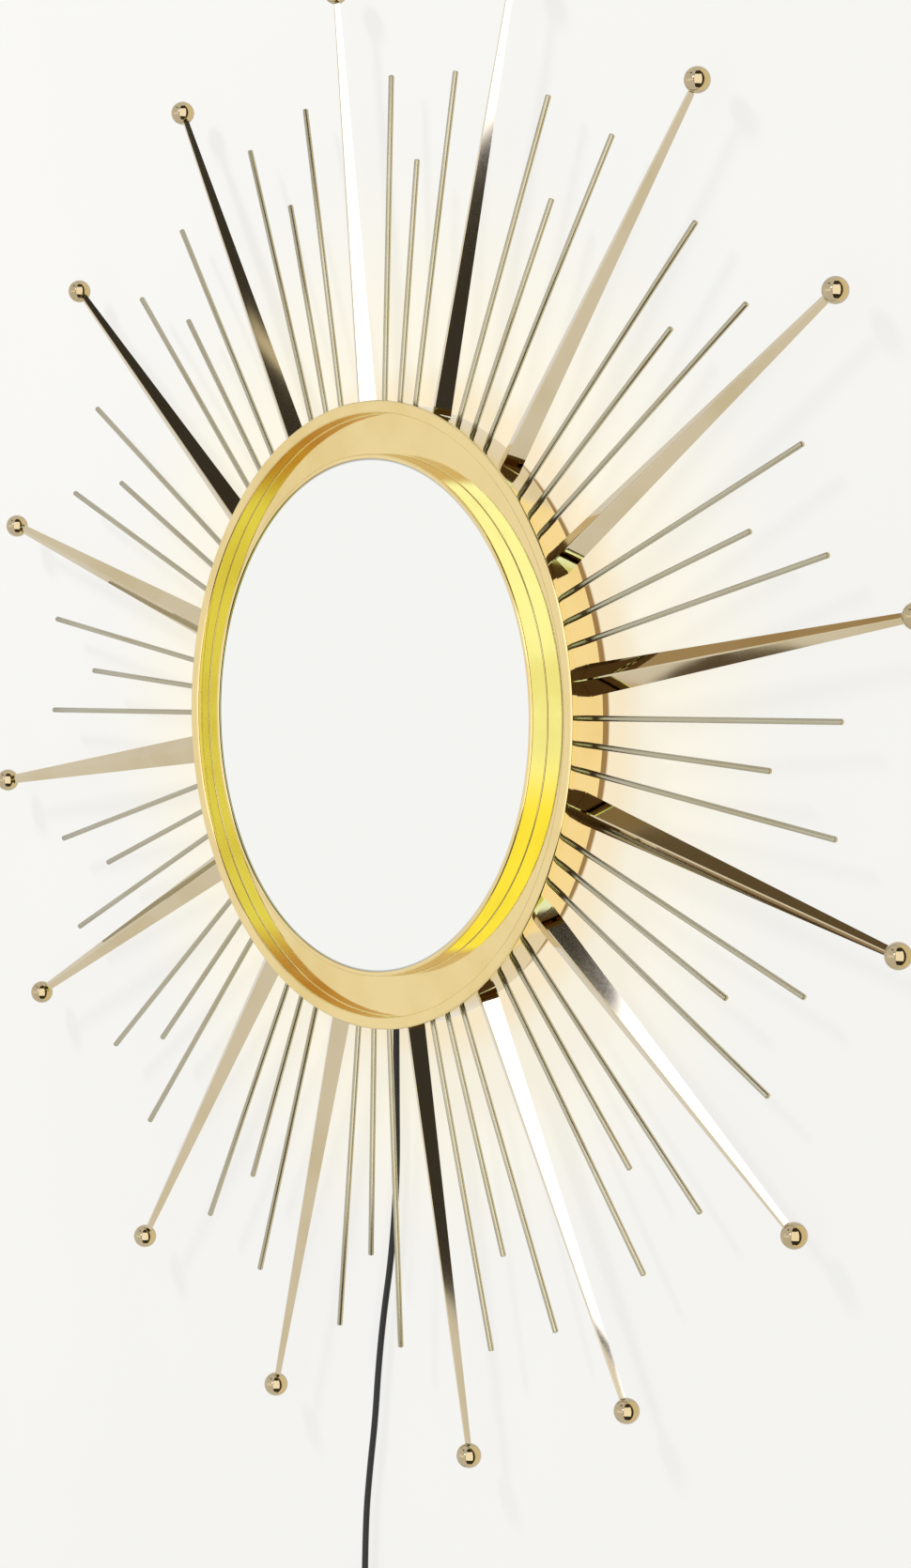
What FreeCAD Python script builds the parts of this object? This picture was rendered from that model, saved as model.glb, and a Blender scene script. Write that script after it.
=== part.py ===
# Wall-hung sunburst mirror with a light behind it: a round glass in a spun brass ring, a polished
# drum that carries folded rays with ball tips and thin rods, a pressed back pan that lights the
# wall, and a low-voltage lead with an in-line switch and a plug-in supply.
# Millimetres. X to the right seen from the front, Y into the wall, Z up.
# The origin is the middle of the pan's crown, where it meets the wall, so every Y is negative.
import FreeCAD, Part
import math
import os
import re
import Sketcher

# Driving sizes: name, value, what it is. An offset is a distance in front of the wall.
DRIVING = [
    ("ring_sheet", "1", "thickness of the spun ring"),
    ("lip_width", "6.5", "flat lip outside the channel"),
    ("rim_width", "2.4", "rim round the glass"),
    ("crest_rise", "2.4", "rim round the glass in front of the lip"),
    ("channel_width", "21.5", "channel between the rim and the lip"),
    ("channel_depth", "8", "floor of the channel behind the lip"),
    ("skirt_depth", "4", "turned-back edge of the lip"),
    ("glass_view_radius", "134.6", "glass that shows inside the ring"),
    ("glass_play", "0.3", "room round the glass, in its mount"),
    ("glass_thick", "4", "mirror glass"),
    ("glass_arris", "0.6", "ground edge of the glass"),
    ("board_thick", "7", "fibreboard behind the glass"),
    ("drum_depth", "22", "drum, front to back"),
    ("drum_wall", "3", "thickness of the drum"),
    ("flange_width", "8.5", "drum's rear flange, inwards"),
    ("flange_thick", "2", "drum's rear flange"),
    ("burst_rise", "9", "middle of the rays' and rods' roots in front of the flange"),
    ("ray_count", "16", "rays, and gaps between them"),
    ("first_ray_angle", "8.25", "degrees from level to the first ray"),
    ("rod_spread_angle", "4.65", "degrees from a short rod to the long rods beside it"),
    ("rod_lean_angle", "2", "degrees that the rods lean to the wall"),
    ("ball_circle_radius", "388", "middle of the balls"),
    ("ball_radius", "6.5", "ball at a ray's tip"),
    ("ray_set_back", "3", "ray's tip nearer to the wall than its root"),
    ("long_rod_reach", "336", "tip of a long rod from the middle"),
    ("short_rod_reach", "290.5", "tip of a short rod from the middle"),
    ("rod_radius", "1.5", "round rods"),
    ("rod_tail", "2", "rod that stands inside the drum"),
    ("ray_root_width", "16.4", "ray at the drum"),
    ("ray_tip_width", "5.2", "ray at the ball"),
    ("ray_root_height", "5.7", "ridge of the fold above its back edges, at the drum"),
    ("ray_sheet", "0.8", "brass of the rays"),
    ("stud_radius", "1.5", "threaded stud at a ray's root"),
    ("stud_seat", "14", "stud that lies in the fold"),
    ("stud_end", "1.5", "stud beyond its nut"),
    ("stud_drop", "0.6", "stud behind the middle of the fold"),
    ("pin_radius", "1", "pin at a ray's tip"),
    ("pin_seat", "8", "pin that lies in the fold"),
    ("pin_drop", "0.9", "pin behind the middle of the fold"),
    ("pin_past", "1", "pin beyond the middle of the ball"),
    ("nut_width", "5.5", "ray's nut across its flats"),
    ("nut_height", "2.4", "ray's nut"),
    ("clip_count", "8", "clips that hold the board"),
    ("clip_sheet", "1", "spring steel of the clips"),
    ("clip_clear", "1", "clip in front of the flange"),
    ("clip_lap", "5", "clip over the edge of the board"),
    ("clip_width", "8.7", "clip along the drum"),
    ("clip_shift_angle", "3.65", "degrees from a ray to the clip beside it"),
    ("clip_bite", "2", "clip's screw in the drum"),
    ("crown_step", "19.1", "raised middle of the back pan, inside the flange"),
    ("brim_play", "1.5", "room round the back pan"),
    ("pan_sheet", "1", "steel of the back pan"),
    ("press_radius", "1.5", "rounded edge of the crown"),
    ("pan_screw_count", "8", "screws that hold the pan"),
    ("screw_radius", "1.5", "shank of the small screws"),
    ("screw_head_radius", "2.7", "head of the small screws"),
    ("screw_head_height", "1.6", "head of the small screws"),
    ("screw_past", "1.5", "pan screw beyond the flange"),
    ("keyhole_spread", "120", "between the two keyholes"),
    ("keyhole_rise", "70", "keyholes' wide ends above the middle"),
    ("keyhole_travel", "10", "wide end to the top of the slot"),
    ("keyhole_head_radius", "4.6", "lets a wall screw's head through"),
    ("keyhole_slot_radius", "2.4", "holds a wall screw's shank"),
    ("tape_margin", "0.5", "crown that shows at each edge of the light strip"),
    ("tape_thick", "0.4", "light strip"),
    ("tape_glue", "0.3", "glue under the light strip"),
    ("tape_break_angle", "14", "degrees without strip, where the lead comes out"),
    ("chip_count", "48", "light chips along the strip"),
    ("chip_length", "3", "light chip along the strip"),
    ("chip_width", "2", "light chip across the strip"),
    ("chip_height", "0.8", "light chip"),
    ("cord_radius", "1.75", "low-voltage lead"),
    ("cord_exit", "8.5", "lead left of the middle where it comes out"),
    ("bush_width", "8", "rubber bush in the crown's notch"),
    ("bush_wall", "0.65", "rubber in front of and behind the lead"),
    ("bush_lip", "1.5", "bush wider than the notch, each side"),
    ("bush_lip_thick", "2", "bush inside and outside the crown"),
    ("terminal_width", "26", "terminal block"),
    ("terminal_length", "14", "terminal block"),
    ("terminal_height", "10", "terminal block"),
    ("terminal_inset", "40", "terminal block's middle from the edge of the crown"),
    ("terminal_shift", "1", "terminal block's middle right of the centre"),
    ("lead_radius", "0.6", "wires to the light strip"),
    ("lead_shift", "9.5", "first wire right of the centre"),
    ("lead_pitch", "2.5", "between the two wires"),
    ("lead_short", "0.8", "wires end this far inside the strip"),
    ("clamp_width", "20", "saddle over the lead"),
    ("clamp_length", "6", "saddle along the lead"),
    ("clamp_height", "6", "saddle"),
    ("clamp_inset", "16", "saddle's middle from the edge of the crown"),
    ("inner_screw_inset", "3.5", "saddle's and block's screws from their ends"),
    ("switch_length", "58", "in-line switch"),
    ("switch_width", "21", "in-line switch"),
    ("switch_wall", "1.1", "switch in front of its sleeves"),
    ("switch_cover_thick", "6", "switch, half with the rocker"),
    ("switch_stand", "0.5", "switch in front of the wall"),
    ("switch_screw_inset", "7", "switch's screws from its ends"),
    ("switch_screw_radius", "1", "switch's screws"),
    ("switch_screw_head", "1.9", "switch's screws"),
    ("switch_screw_bite", "3", "switch's screws in the cover"),
    ("collar_length", "5", "sleeve at each end of the switch"),
    ("collar_radius", "2.9", "sleeve at each end of the switch"),
    ("rocker_length", "20", "rocker"),
    ("rocker_width", "12", "rocker"),
    ("rocker_rise", "5", "rocker's ends above its pivot"),
    ("rocker_dip", "1", "rocker's middle below its ends"),
    ("rocker_draw", "0.8", "rocker narrower at its top, each end"),
    ("rocker_keel", "3.2", "rocker's foot below its pivot"),
    ("rocker_foot", "4", "half of the rocker's foot"),
    ("rocker_tilt_angle", "8", "degrees from level to each stop"),
    ("rocker_play", "0.5", "room round the rocker"),
    ("trunnion_radius", "1.2", "rocker's pivot"),
    ("trunnion_length", "1.4", "rocker's pivot, each side"),
    ("pivot_depth", "4", "pivot below the front of the switch"),
    ("running_gap", "0.08", "pivot in its hole"),
    ("coil_mid_radius", "21", "middle of the coil's turns"),
    ("coil_gap", "0.6", "room between the turns"),
    ("coil_lead_in", "20", "straight lead between the switch and the coil"),
    ("coil_tail", "26", "straight lead between the coil and the supply"),
    ("tie_width", "6", "tie along the turns"),
    ("tie_thick", "0.8", "tie"),
    ("tie_play", "0.35", "tie round the turns"),
    ("adapter_width", "35", "plug-in supply"),
    ("adapter_depth", "26", "plug-in supply"),
    ("adapter_length", "42", "plug-in supply's case"),
    ("adapter_corner", "6", "plug-in supply's rounded corners"),
    ("adapter_stand", "3", "plug-in supply in front of the wall"),
    ("adapter_lid", "5", "plug-in supply's end with the pins"),
    ("sleeve_length", "10", "strain relief on the supply"),
    ("sleeve_radius", "4", "strain relief on the supply"),
    ("sleeve_end_wall", "1", "strain relief where the lead goes in"),
    ("prong_radius", "2", "supply's pins"),
    ("prong_length", "19", "supply's pins"),
    ("prong_pitch", "19", "between the supply's pins"),
    ("fit_gap", "0.1", "clearance of a fixed fit"),
    ("overrun", "2", "length by which a cutter passes its face"),
]

# The coil has this many turns in each layer, and this many layers.
COIL_TURNS = 3
COIL_LAYERS = 4
STEPS_PER_TURN = 4

# The rays are bent by hand: how far each tip stands beside its true place, as a share of the balls' circle.
RAY_SET_SHARES = (
    0.0085, 0.0248, -0.0007, 0.0065, 0.0021, 0.0061, -0.0176, -0.0122,
    -0.0040, -0.0553, 0.0024, -0.0126, 0.0403, -0.0106, 0.0030, 0.0030,
)

# Where the ties hold the coil, in degrees round it.
TIE_ANGLES = (120, 240)

# The lead's route down the wall, (right, up) in millimetres, from the terminal block to the switch.
CORD_ROUTE = [
    (-8.5, -99.0),
    (-8.5, -150.0),
    (-7.2, -204.0),
    (-6.0, -246.0),
    (-9.8, -289.0),
    (-16.8, -324.0),
    (-20.9, -354.0),
    (-23.2, -382.0),
    (-27.4, -409.0),
    (-31.0, -440.0),
    (-31.0, -470.0),
]

# Sizes that follow from the driving ones.
DERIVED = [
    ("bush_height", "2 * (cord_radius + bush_wall)"),
    ("wall_gap", "bush_height + 2 * pan_sheet + 2 * fit_gap"),
    ("cord_off", "wall_gap / 2"),
    ("lip_back_off", "wall_gap + drum_depth"),
    ("lip_off", "lip_back_off + ring_sheet"),
    ("body_depth", "lip_off + crest_rise"),
    ("glass_front_off", "body_depth - ring_sheet"),
    ("glass_back_off", "glass_front_off - glass_thick"),
    ("board_back_off", "glass_back_off - board_thick"),
    ("skirt_off", "lip_off - skirt_depth"),
    ("floor_off", "lip_off - channel_depth"),
    ("floor_back_off", "floor_off - ring_sheet"),
    ("mount_radius", "glass_view_radius + rim_width"),
    ("mount_inner_radius", "mount_radius - ring_sheet"),
    ("hoop_radius", "mount_radius + channel_width"),
    ("hoop_outer_radius", "hoop_radius + ring_sheet"),
    ("ring_radius", "hoop_radius + lip_width"),
    ("skirt_inner_radius", "ring_radius - ring_sheet"),
    ("glass_radius", "mount_inner_radius - glass_play"),
    ("glass_flat_radius", "glass_radius - glass_arris"),
    ("glass_edge_front_off", "glass_front_off - glass_arris"),
    ("glass_edge_back_off", "glass_back_off + glass_arris"),
    ("board_radius", "mount_inner_radius - glass_play"),
    ("drum_inner_radius", "hoop_outer_radius + fit_gap"),
    ("drum_radius", "drum_inner_radius + drum_wall"),
    ("flange_inner_radius", "drum_inner_radius - flange_width"),
    ("flange_front_off", "wall_gap + flange_thick"),
    ("burst_off", "flange_front_off + burst_rise"),
    ("stud_off", "burst_off - stud_drop"),
    ("pin_off", "burst_off - ray_set_back - pin_drop"),
    ("ray_root_reach", "drum_radius + fit_gap"),
    ("ray_tip_reach", "ball_circle_radius - ball_radius - fit_gap"),
    ("fold_shrink", "ray_tip_width / ray_root_width"),
    ("root_half_width", "ray_root_width / 2"),
    ("root_half_height", "ray_root_height / 2"),
    ("tip_half_width", "root_half_width * fold_shrink"),
    ("tip_half_height", "root_half_height * fold_shrink"),
    ("fold_wall", "ray_sheet * sqrt(ray_root_height ^ 2 + root_half_width ^ 2) / root_half_width"),
    ("root_groove", "fold_wall - root_half_height"),
    ("tip_groove", "fold_wall - tip_half_height"),
    ("root_inner_half", "root_half_width * (1 - fold_wall / (2 * root_half_height))"),
    ("tip_inner_half", "tip_half_width * (1 - fold_wall / (2 * tip_half_height))"),
    ("nut_face_reach", "drum_inner_radius - fit_gap"),
    ("stud_start", "nut_face_reach - nut_height - stud_end"),
    ("stud_length", "ray_root_reach + stud_seat - stud_start"),
    ("pin_start", "ray_tip_reach - pin_seat"),
    ("pin_length", "ball_circle_radius + pin_past - pin_start"),
    ("rod_root_reach", "drum_inner_radius - rod_tail"),
    ("clip_inner_radius", "drum_inner_radius - clip_sheet"),
    ("clip_end_radius", "board_radius - clip_lap"),
    ("clip_arm_off", "board_back_off - clip_sheet"),
    ("clip_foot_off", "flange_front_off + clip_clear"),
    ("clip_screw_off", "(clip_arm_off + clip_foot_off) / 2"),
    ("clip_angle", "2 * asin(clip_width / (2 * clip_inner_radius)) / 1 deg"),
    ("brim_back_off", "wall_gap - pan_sheet"),
    ("brim_radius", "drum_inner_radius - brim_play"),
    ("crown_radius", "flange_inner_radius - crown_step"),
    ("crown_inner_radius", "crown_radius - pan_sheet"),
    ("crown_flat_radius", "crown_radius - press_radius"),
    ("pan_screw_circle", "flange_inner_radius + flange_width / 2"),
    ("tape_inner_radius", "crown_radius + tape_glue"),
    ("tape_radius", "tape_inner_radius + tape_thick"),
    ("tape_back_off", "tape_margin"),
    ("tape_front_off", "brim_back_off - tape_margin"),
    ("tape_middle_off", "brim_back_off / 2"),
    ("cord_exit_angle", "270 - asin(cord_exit / crown_radius) / 1 deg"),
    ("tape_start_angle", "cord_exit_angle + tape_break_angle / 2"),
    ("tape_sweep_angle", "360 - tape_break_angle"),
    ("clamp_drop", "crown_radius - clamp_inset"),
    ("clamp_off", "pan_sheet + clamp_height"),
    ("terminal_drop", "crown_radius - terminal_inset"),
    ("terminal_off", "pan_sheet + terminal_height"),
    ("cover_back_off", "cord_off + collar_radius + switch_wall"),
    ("cover_front_off", "cover_back_off + switch_cover_thick"),
    ("switch_base_thick", "cover_back_off - switch_stand"),
    ("switch_half_width", "switch_width / 2"),
    ("switch_end", "switch_length / 2"),
    ("switch_run", "switch_end - switch_half_width"),
    ("pivot_off", "cover_front_off - pivot_depth"),
    ("rocker_half", "rocker_length / 2"),
    ("rocker_top_half", "rocker_half - rocker_draw"),
    ("rocker_middle_rise", "rocker_rise - rocker_dip"),
    ("keel_swing", "sqrt(rocker_keel ^ 2 + rocker_foot ^ 2)"),
    ("coil_pitch", "2 * cord_radius + coil_gap"),
    ("coil_outer_radius", f"coil_mid_radius + coil_pitch * {COIL_TURNS} / 2"),
    ("coil_front_off", f"cord_off + coil_pitch * ({COIL_LAYERS} - 1)"),
    ("supply_half", "adapter_width / 2"),
    ("supply_flat", "supply_half - adapter_corner"),
    ("supply_back", "adapter_stand"),
    ("supply_front", "adapter_stand + adapter_depth"),
    ("supply_back_flat", "supply_back + adapter_corner"),
    ("supply_front_flat", "supply_front - adapter_corner"),
]

doc = FreeCAD.newDocument("SunburstMirror")
sizes = doc.addObject("Spreadsheet::Sheet", "sizes")
aliases = {name for name, *_ in DRIVING + DERIVED}
pieces = []


def cells(formula):
    """The formula with each size's name written as a cell of the sheet."""
    return re.sub(r"[a-z]\w*", lambda word: "sizes." + word[0] if word[0] in aliases else word[0], formula)


def fillSheet():
    row = 1
    for name, value, note in DRIVING:
        sizes.set(f"A{row}", name)
        sizes.set(f"B{row}", value)
        sizes.set(f"C{row}", note)
        sizes.setAlias(f"B{row}", name)
        row += 1
    for name, formula in DERIVED:
        sizes.set(f"A{row}", name)
        sizes.set(f"B{row}", "=" + formula)
        sizes.setAlias(f"B{row}", name)
        row += 1
    doc.recompute()


def size(name):
    """A size as a number; a leading minus turns it round, and 0 is 0."""
    if name == "0":
        return 0.0
    if name.startswith("-"):
        return -float(sizes.get(name[1:]))
    return float(sizes.get(name))


def bind(thing, **formulas):
    for prop, formula in formulas.items():
        thing.setExpression(prop, cells(formula))
    return thing


def place(thing, x="0", y="0", z="0", about=(0, 0, 1), angle="0"):
    axis = "; ".join(str(part) for part in about)
    spot = f"placement(vector({x}; {y}; {z}); rotation(vector({axis}); {angle}))"
    thing.setExpression("Placement", cells(spot))
    return thing


def keep(thing, label):
    """Hands a finished piece in under its own name."""
    thing.Label = label
    pieces.append(thing)
    return thing


def newBody(name):
    return doc.addObject("PartDesign::Body", name)


def newSketch(body, name, role, offset="0", across="0", up="0"):
    sketch = body.newObject("Sketcher::SketchObject", name)
    plane = next(part for part in body.Origin.OriginFeatures if part.Role == role)
    sketch.AttachmentSupport = [(plane, "")]
    sketch.MapMode = "FlatFace"
    for axis, formula in (("x", across), ("y", up), ("z", offset)):
        sketch.setExpression("AttachmentOffset.Base." + axis, cells(formula))
    return sketch


def pin(sketch, geometry, point, across, up, tag):
    """Fixes a point of the sketch at two named sizes."""
    for kind, axis, name, letter in (("DistanceX", -2, across, "x"), ("DistanceY", -1, up, "y")):
        if name == "0":
            sketch.addConstraint(Sketcher.Constraint("PointOnObject", geometry, point, axis))
            continue
        number = sketch.addConstraint(Sketcher.Constraint(kind, -1, 1, geometry, point, size(name)))
        sketch.renameConstraint(number, f"{letter}{tag}")
        sketch.setExpression(f"Constraints.{letter}{tag}", cells(name))


def bulgePoint(start, end, radius, side):
    """The middle of the arc from start to end; side 1 bulges to the left of that way."""
    chord = end - start
    half = chord.Length / 2
    rise = radius - math.sqrt(max(radius ** 2 - half ** 2, 0))
    left = FreeCAD.Vector(-chord.y, chord.x, 0).normalize()
    return start + chord / 2 + left * rise * side


def drawOutline(sketch, corners):
    """A closed outline through the corners (across, up). A corner may add a curve's size and side."""
    spots = [FreeCAD.Vector(size(corner[0]), size(corner[1]), 0) for corner in corners]
    ends = []
    for number, corner in enumerate(corners):
        start, end = spots[number], spots[(number + 1) % len(spots)]
        if len(corner) == 2:
            edge = sketch.addGeometry(Part.LineSegment(start, end))
        else:
            middle = bulgePoint(start, end, size(corner[2]), corner[3])
            edge = sketch.addGeometry(Part.Arc(start, middle, end))
        forward = sketch.getPoint(edge, 1).distanceToPoint(start) < sketch.getPoint(edge, 2).distanceToPoint(start)
        ends.append((edge, 1, 2) if forward else (edge, 2, 1))
    for number, corner in enumerate(corners):
        edge, first, last = ends[number]
        after, afterFirst, _ = ends[(number + 1) % len(ends)]
        sketch.addConstraint(Sketcher.Constraint("Coincident", edge, last, after, afterFirst))
        pin(sketch, edge, first, corner[0], corner[1], number)
        if len(corner) > 2:
            curve = sketch.addConstraint(Sketcher.Constraint("Radius", edge, size(corner[2])))
            sketch.renameConstraint(curve, f"r{number}")
            sketch.setExpression(f"Constraints.r{number}", cells(corner[2]))


def drawCircle(sketch, radius, across="0", up="0"):
    spot = FreeCAD.Vector(size(across), size(up), 0)
    ring = sketch.addGeometry(Part.Circle(spot, FreeCAD.Vector(0, 0, 1), size(radius)))
    number = sketch.addConstraint(Sketcher.Constraint("Radius", ring, size(radius)))
    sketch.renameConstraint(number, "radius")
    sketch.setExpression("Constraints.radius", cells(radius))
    pin(sketch, ring, 3, across, up, 0)


def turned(name, corners, angle=None):
    """A body turned about the mirror's own axis from a half outline (radius, depth)."""
    body = newBody(name)
    sketch = newSketch(body, name + "_outline", "XY_Plane")
    drawOutline(sketch, corners)
    turn = body.newObject("PartDesign::Revolution", name + "_turn")
    turn.Profile = sketch
    turn.ReferenceAxis = (sketch, ["V_Axis"])
    if angle:
        bind(turn, Angle=angle)
    return body


def padOn(body, name, role, offset, length, draw, across="0", up="0"):
    sketch = newSketch(body, name + "_outline", role, offset, across, up)
    draw(sketch)
    pad = body.newObject("PartDesign::Pad", name + "_pad")
    pad.Profile = sketch
    return bind(pad, Length=length)


def box(name, across, deep, tall, x, y, z):
    """A block by its sizes along X, Y and Z and its middle."""
    block = bind(doc.addObject("Part::Box", name), Length=across, Width=deep, Height=tall)
    return place(block, f"{x} - ({across}) / 2", f"{y} - ({deep}) / 2", f"{z} - ({tall}) / 2")


def rod(name, radius, length, **spot):
    return place(bind(doc.addObject("Part::Cylinder", name), Radius=radius, Height=length), **spot)


def spoke(name, radius, start, end, angle, offset, side="0"):
    """A round bar that points away from the mirror's axis, or lies beside one that does."""
    across = f"({start}) * cos({angle}) - ({side}) * sin({angle})"
    up = f"({start}) * sin({angle}) + ({side}) * cos({angle})"
    return rod(name, radius, f"{end} - ({start})", x=across, y=f"-({offset})", z=up,
               about=(0, 1, 0), angle=f"90 - ({angle})")


def leaningSpoke(name, radius, start, end, angle):
    """A round bar through the drum that leans to the wall as it goes out."""
    across, up = f"({start}) * cos({angle})", f"({start}) * sin({angle})"
    depth = f"(({start}) - drum_radius) * tan(rod_lean_angle) - burst_off"
    about = ("-sin(rod_lean_angle)", f"cos(rod_lean_angle) * cos({angle})", "0")
    return rod(name, radius, f"({end} - ({start})) / cos(rod_lean_angle)", x=across, y=depth, z=up,
               about=about, angle=f"acos(cos(rod_lean_angle) * sin({angle}))")


def inward(name, radius, length, x, offset, z):
    """A round bar that points away from the wall, from the given offset."""
    return rod(name, radius, length, x=x, y=f"-({offset})", z=z, about=(1, 0, 0), angle="90")


def upright(name, radius, bottom, length, x, offset):
    return rod(name, radius, length, x=x, y=f"-({offset})", z=bottom)


def group(name, members):
    bundle = doc.addObject("Part::Compound", name)
    bundle.Links = members
    return bundle


def joined(name, members):
    whole = doc.addObject("Part::MultiFuse", name)
    whole.Shapes = members
    return whole


def cut(name, base, tools):
    rest = doc.addObject("Part::Cut", name)
    rest.Base = base
    rest.Tool = group(name + "_cutters", tools)
    return rest


def rayAngle(number, beside="0"):
    return f"first_ray_angle + {number} * 360 / ray_count + ({beside})"


def gapAngle(number, beside="0"):
    return rayAngle(number, f"180 / ray_count + ({beside})")


def frontRing():
    """Lip, channel and the raised mount of the glass, spun from one sheet."""
    keep(turned("front_ring", [
        ("glass_view_radius", "-body_depth"),
        ("mount_radius", "-body_depth"),
        ("mount_radius", "-floor_off"),
        ("hoop_radius", "-floor_off"),
        ("hoop_radius", "-lip_off"),
        ("ring_radius", "-lip_off"),
        ("ring_radius", "-skirt_off"),
        ("skirt_inner_radius", "-skirt_off"),
        ("skirt_inner_radius", "-lip_back_off"),
        ("hoop_outer_radius", "-lip_back_off"),
        ("hoop_outer_radius", "-floor_back_off"),
        ("mount_inner_radius", "-floor_back_off"),
        ("mount_inner_radius", "-glass_front_off"),
        ("glass_view_radius", "-glass_front_off"),
    ]), "front_ring")


def glassAndBoard():
    keep(turned("mirror_glass", [
        ("0", "-glass_front_off"),
        ("glass_flat_radius", "-glass_front_off"),
        ("glass_radius", "-glass_edge_front_off"),
        ("glass_radius", "-glass_edge_back_off"),
        ("glass_flat_radius", "-glass_back_off"),
        ("0", "-glass_back_off"),
    ]), "mirror_glass")
    keep(turned("backing_board", [
        ("0", "-glass_back_off"),
        ("board_radius", "-glass_back_off"),
        ("board_radius", "-board_back_off"),
        ("0", "-board_back_off"),
    ]), "backing_board")


def drum(count, clips):
    blank = turned("drum_blank", [
        ("drum_inner_radius", "-lip_back_off"),
        ("drum_radius", "-lip_back_off"),
        ("drum_radius", "-wall_gap"),
        ("flange_inner_radius", "-wall_gap"),
        ("flange_inner_radius", "-flange_front_off"),
        ("drum_inner_radius", "-flange_front_off"),
    ])
    start, end = "drum_inner_radius - overrun", "drum_radius + overrun"
    holes = []
    for number in range(count):
        holes.append(spoke(f"stud_hole_{number}", "stud_radius + fit_gap", start, end,
                           rayAngle(number), "stud_off"))
        for name, beside in (("before", "-rod_spread_angle"), ("middle", "0"), ("after", "rod_spread_angle")):
            holes.append(leaningSpoke(f"rod_hole_{name}_{number}", "rod_radius + fit_gap", start, end,
                                      gapAngle(number, beside)))
    for number in range(clips):
        holes.append(spoke(f"clip_hole_{number}", "screw_radius + fit_gap", start,
                           "drum_inner_radius + clip_bite + fit_gap", clipAngle(number), "clip_screw_off"))
    holes += panScrewHoles("drum")
    keep(cut("drum_ring", blank, holes), "drum_ring")


def rods(count):
    longs, shorts = [], []
    for number in range(count):
        for name, beside in (("before", "-rod_spread_angle"), ("after", "rod_spread_angle")):
            longs.append(leaningSpoke(f"long_rod_{name}_{number}", "rod_radius", "rod_root_reach",
                                      "long_rod_reach", gapAngle(number, beside)))
        shorts.append(leaningSpoke(f"short_rod_{number}", "rod_radius", "rod_root_reach", "short_rod_reach",
                                   gapAngle(number)))
    keep(group("long_rods", longs), "long_rods")
    keep(group("short_rods", shorts), "short_rods")


def foldSection(body, name, reach, end, **spot):
    """The V of a folded ray: its ridge to the front, its two edges to the wall."""
    sketch = newSketch(body, name, "YZ_Plane", reach, **spot)
    drawOutline(sketch, [
        (f"-{end}_half_height", "0"),
        (f"{end}_half_height", f"{end}_half_width"),
        (f"{end}_half_height", f"{end}_inner_half"),
        (f"{end}_groove", "0"),
        (f"{end}_half_height", f"-{end}_inner_half"),
        (f"{end}_half_height", f"-{end}_half_width"),
    ])
    return sketch


def rayAside(number):
    return f"{RAY_SET_SHARES[number]} * ball_circle_radius"


def ray(number):
    name = f"ray_{number + 1:02d}"
    aside = {"across": "ray_set_back", "up": rayAside(number)}
    body = newBody(name)
    fold = body.newObject("PartDesign::AdditiveLoft", name + "_fold")
    fold.Profile = foldSection(body, name + "_root", "ray_root_reach", "root")
    fold.Sections = [foldSection(body, name + "_tip", "ray_tip_reach", "tip", **aside)]
    fold.Ruled = True
    padOn(body, name + "_stud", "YZ_Plane", "stud_start", "stud_length",
          lambda sketch: drawCircle(sketch, "stud_radius", "stud_drop"))
    padOn(body, name + "_pin", "YZ_Plane", "pin_start", "pin_length",
          lambda sketch: drawCircle(sketch, "pin_radius", "pin_drop"), **aside)
    place(body, y="-burst_off", about=(0, 1, 0), angle=f"-({rayAngle(number)})")
    keep(body, name)


def ball(number):
    name = f"ball_{number + 1:02d}"
    angle = rayAngle(number)
    globe = bind(doc.addObject("Part::Sphere", name + "_globe"), Radius="ball_radius")
    aside = rayAside(number)
    place(globe, f"ball_circle_radius * cos({angle}) - {aside} * sin({angle})", "-pin_off",
          f"ball_circle_radius * sin({angle}) + {aside} * cos({angle})",
          about=(0, 1, 0), angle=f"90 - ({angle})")
    bore = spoke(name + "_bore", "pin_radius + fit_gap", "ball_circle_radius - ball_radius - overrun",
                 "ball_circle_radius + pin_past + fit_gap", angle, "pin_off", aside)
    keep(cut(name, globe, [bore]), name)


def rayNuts(count):
    nuts = []
    for number in range(count):
        angle = rayAngle(number)
        start = "nut_face_reach - nut_height"
        blank = bind(doc.addObject("Part::Prism", f"nut_blank_{number}"),
                     Circumradius="nut_width / sqrt(3)", Height="nut_height")
        blank.Polygon = 6
        place(blank, f"({start}) * cos({angle})", "-stud_off", f"({start}) * sin({angle})",
              about=(0, 1, 0), angle=f"90 - ({angle})")
        bore = spoke(f"nut_bore_{number}", "stud_radius + fit_gap", f"{start} - overrun",
                     "nut_face_reach + overrun", angle, "stud_off")
        nuts.append(cut(f"nut_{number}", blank, [bore]))
    keep(group("ray_nuts", nuts), "ray_nuts")


def clipAngle(number):
    return f"first_ray_angle + {number} * 360 / clip_count + clip_shift_angle"


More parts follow.
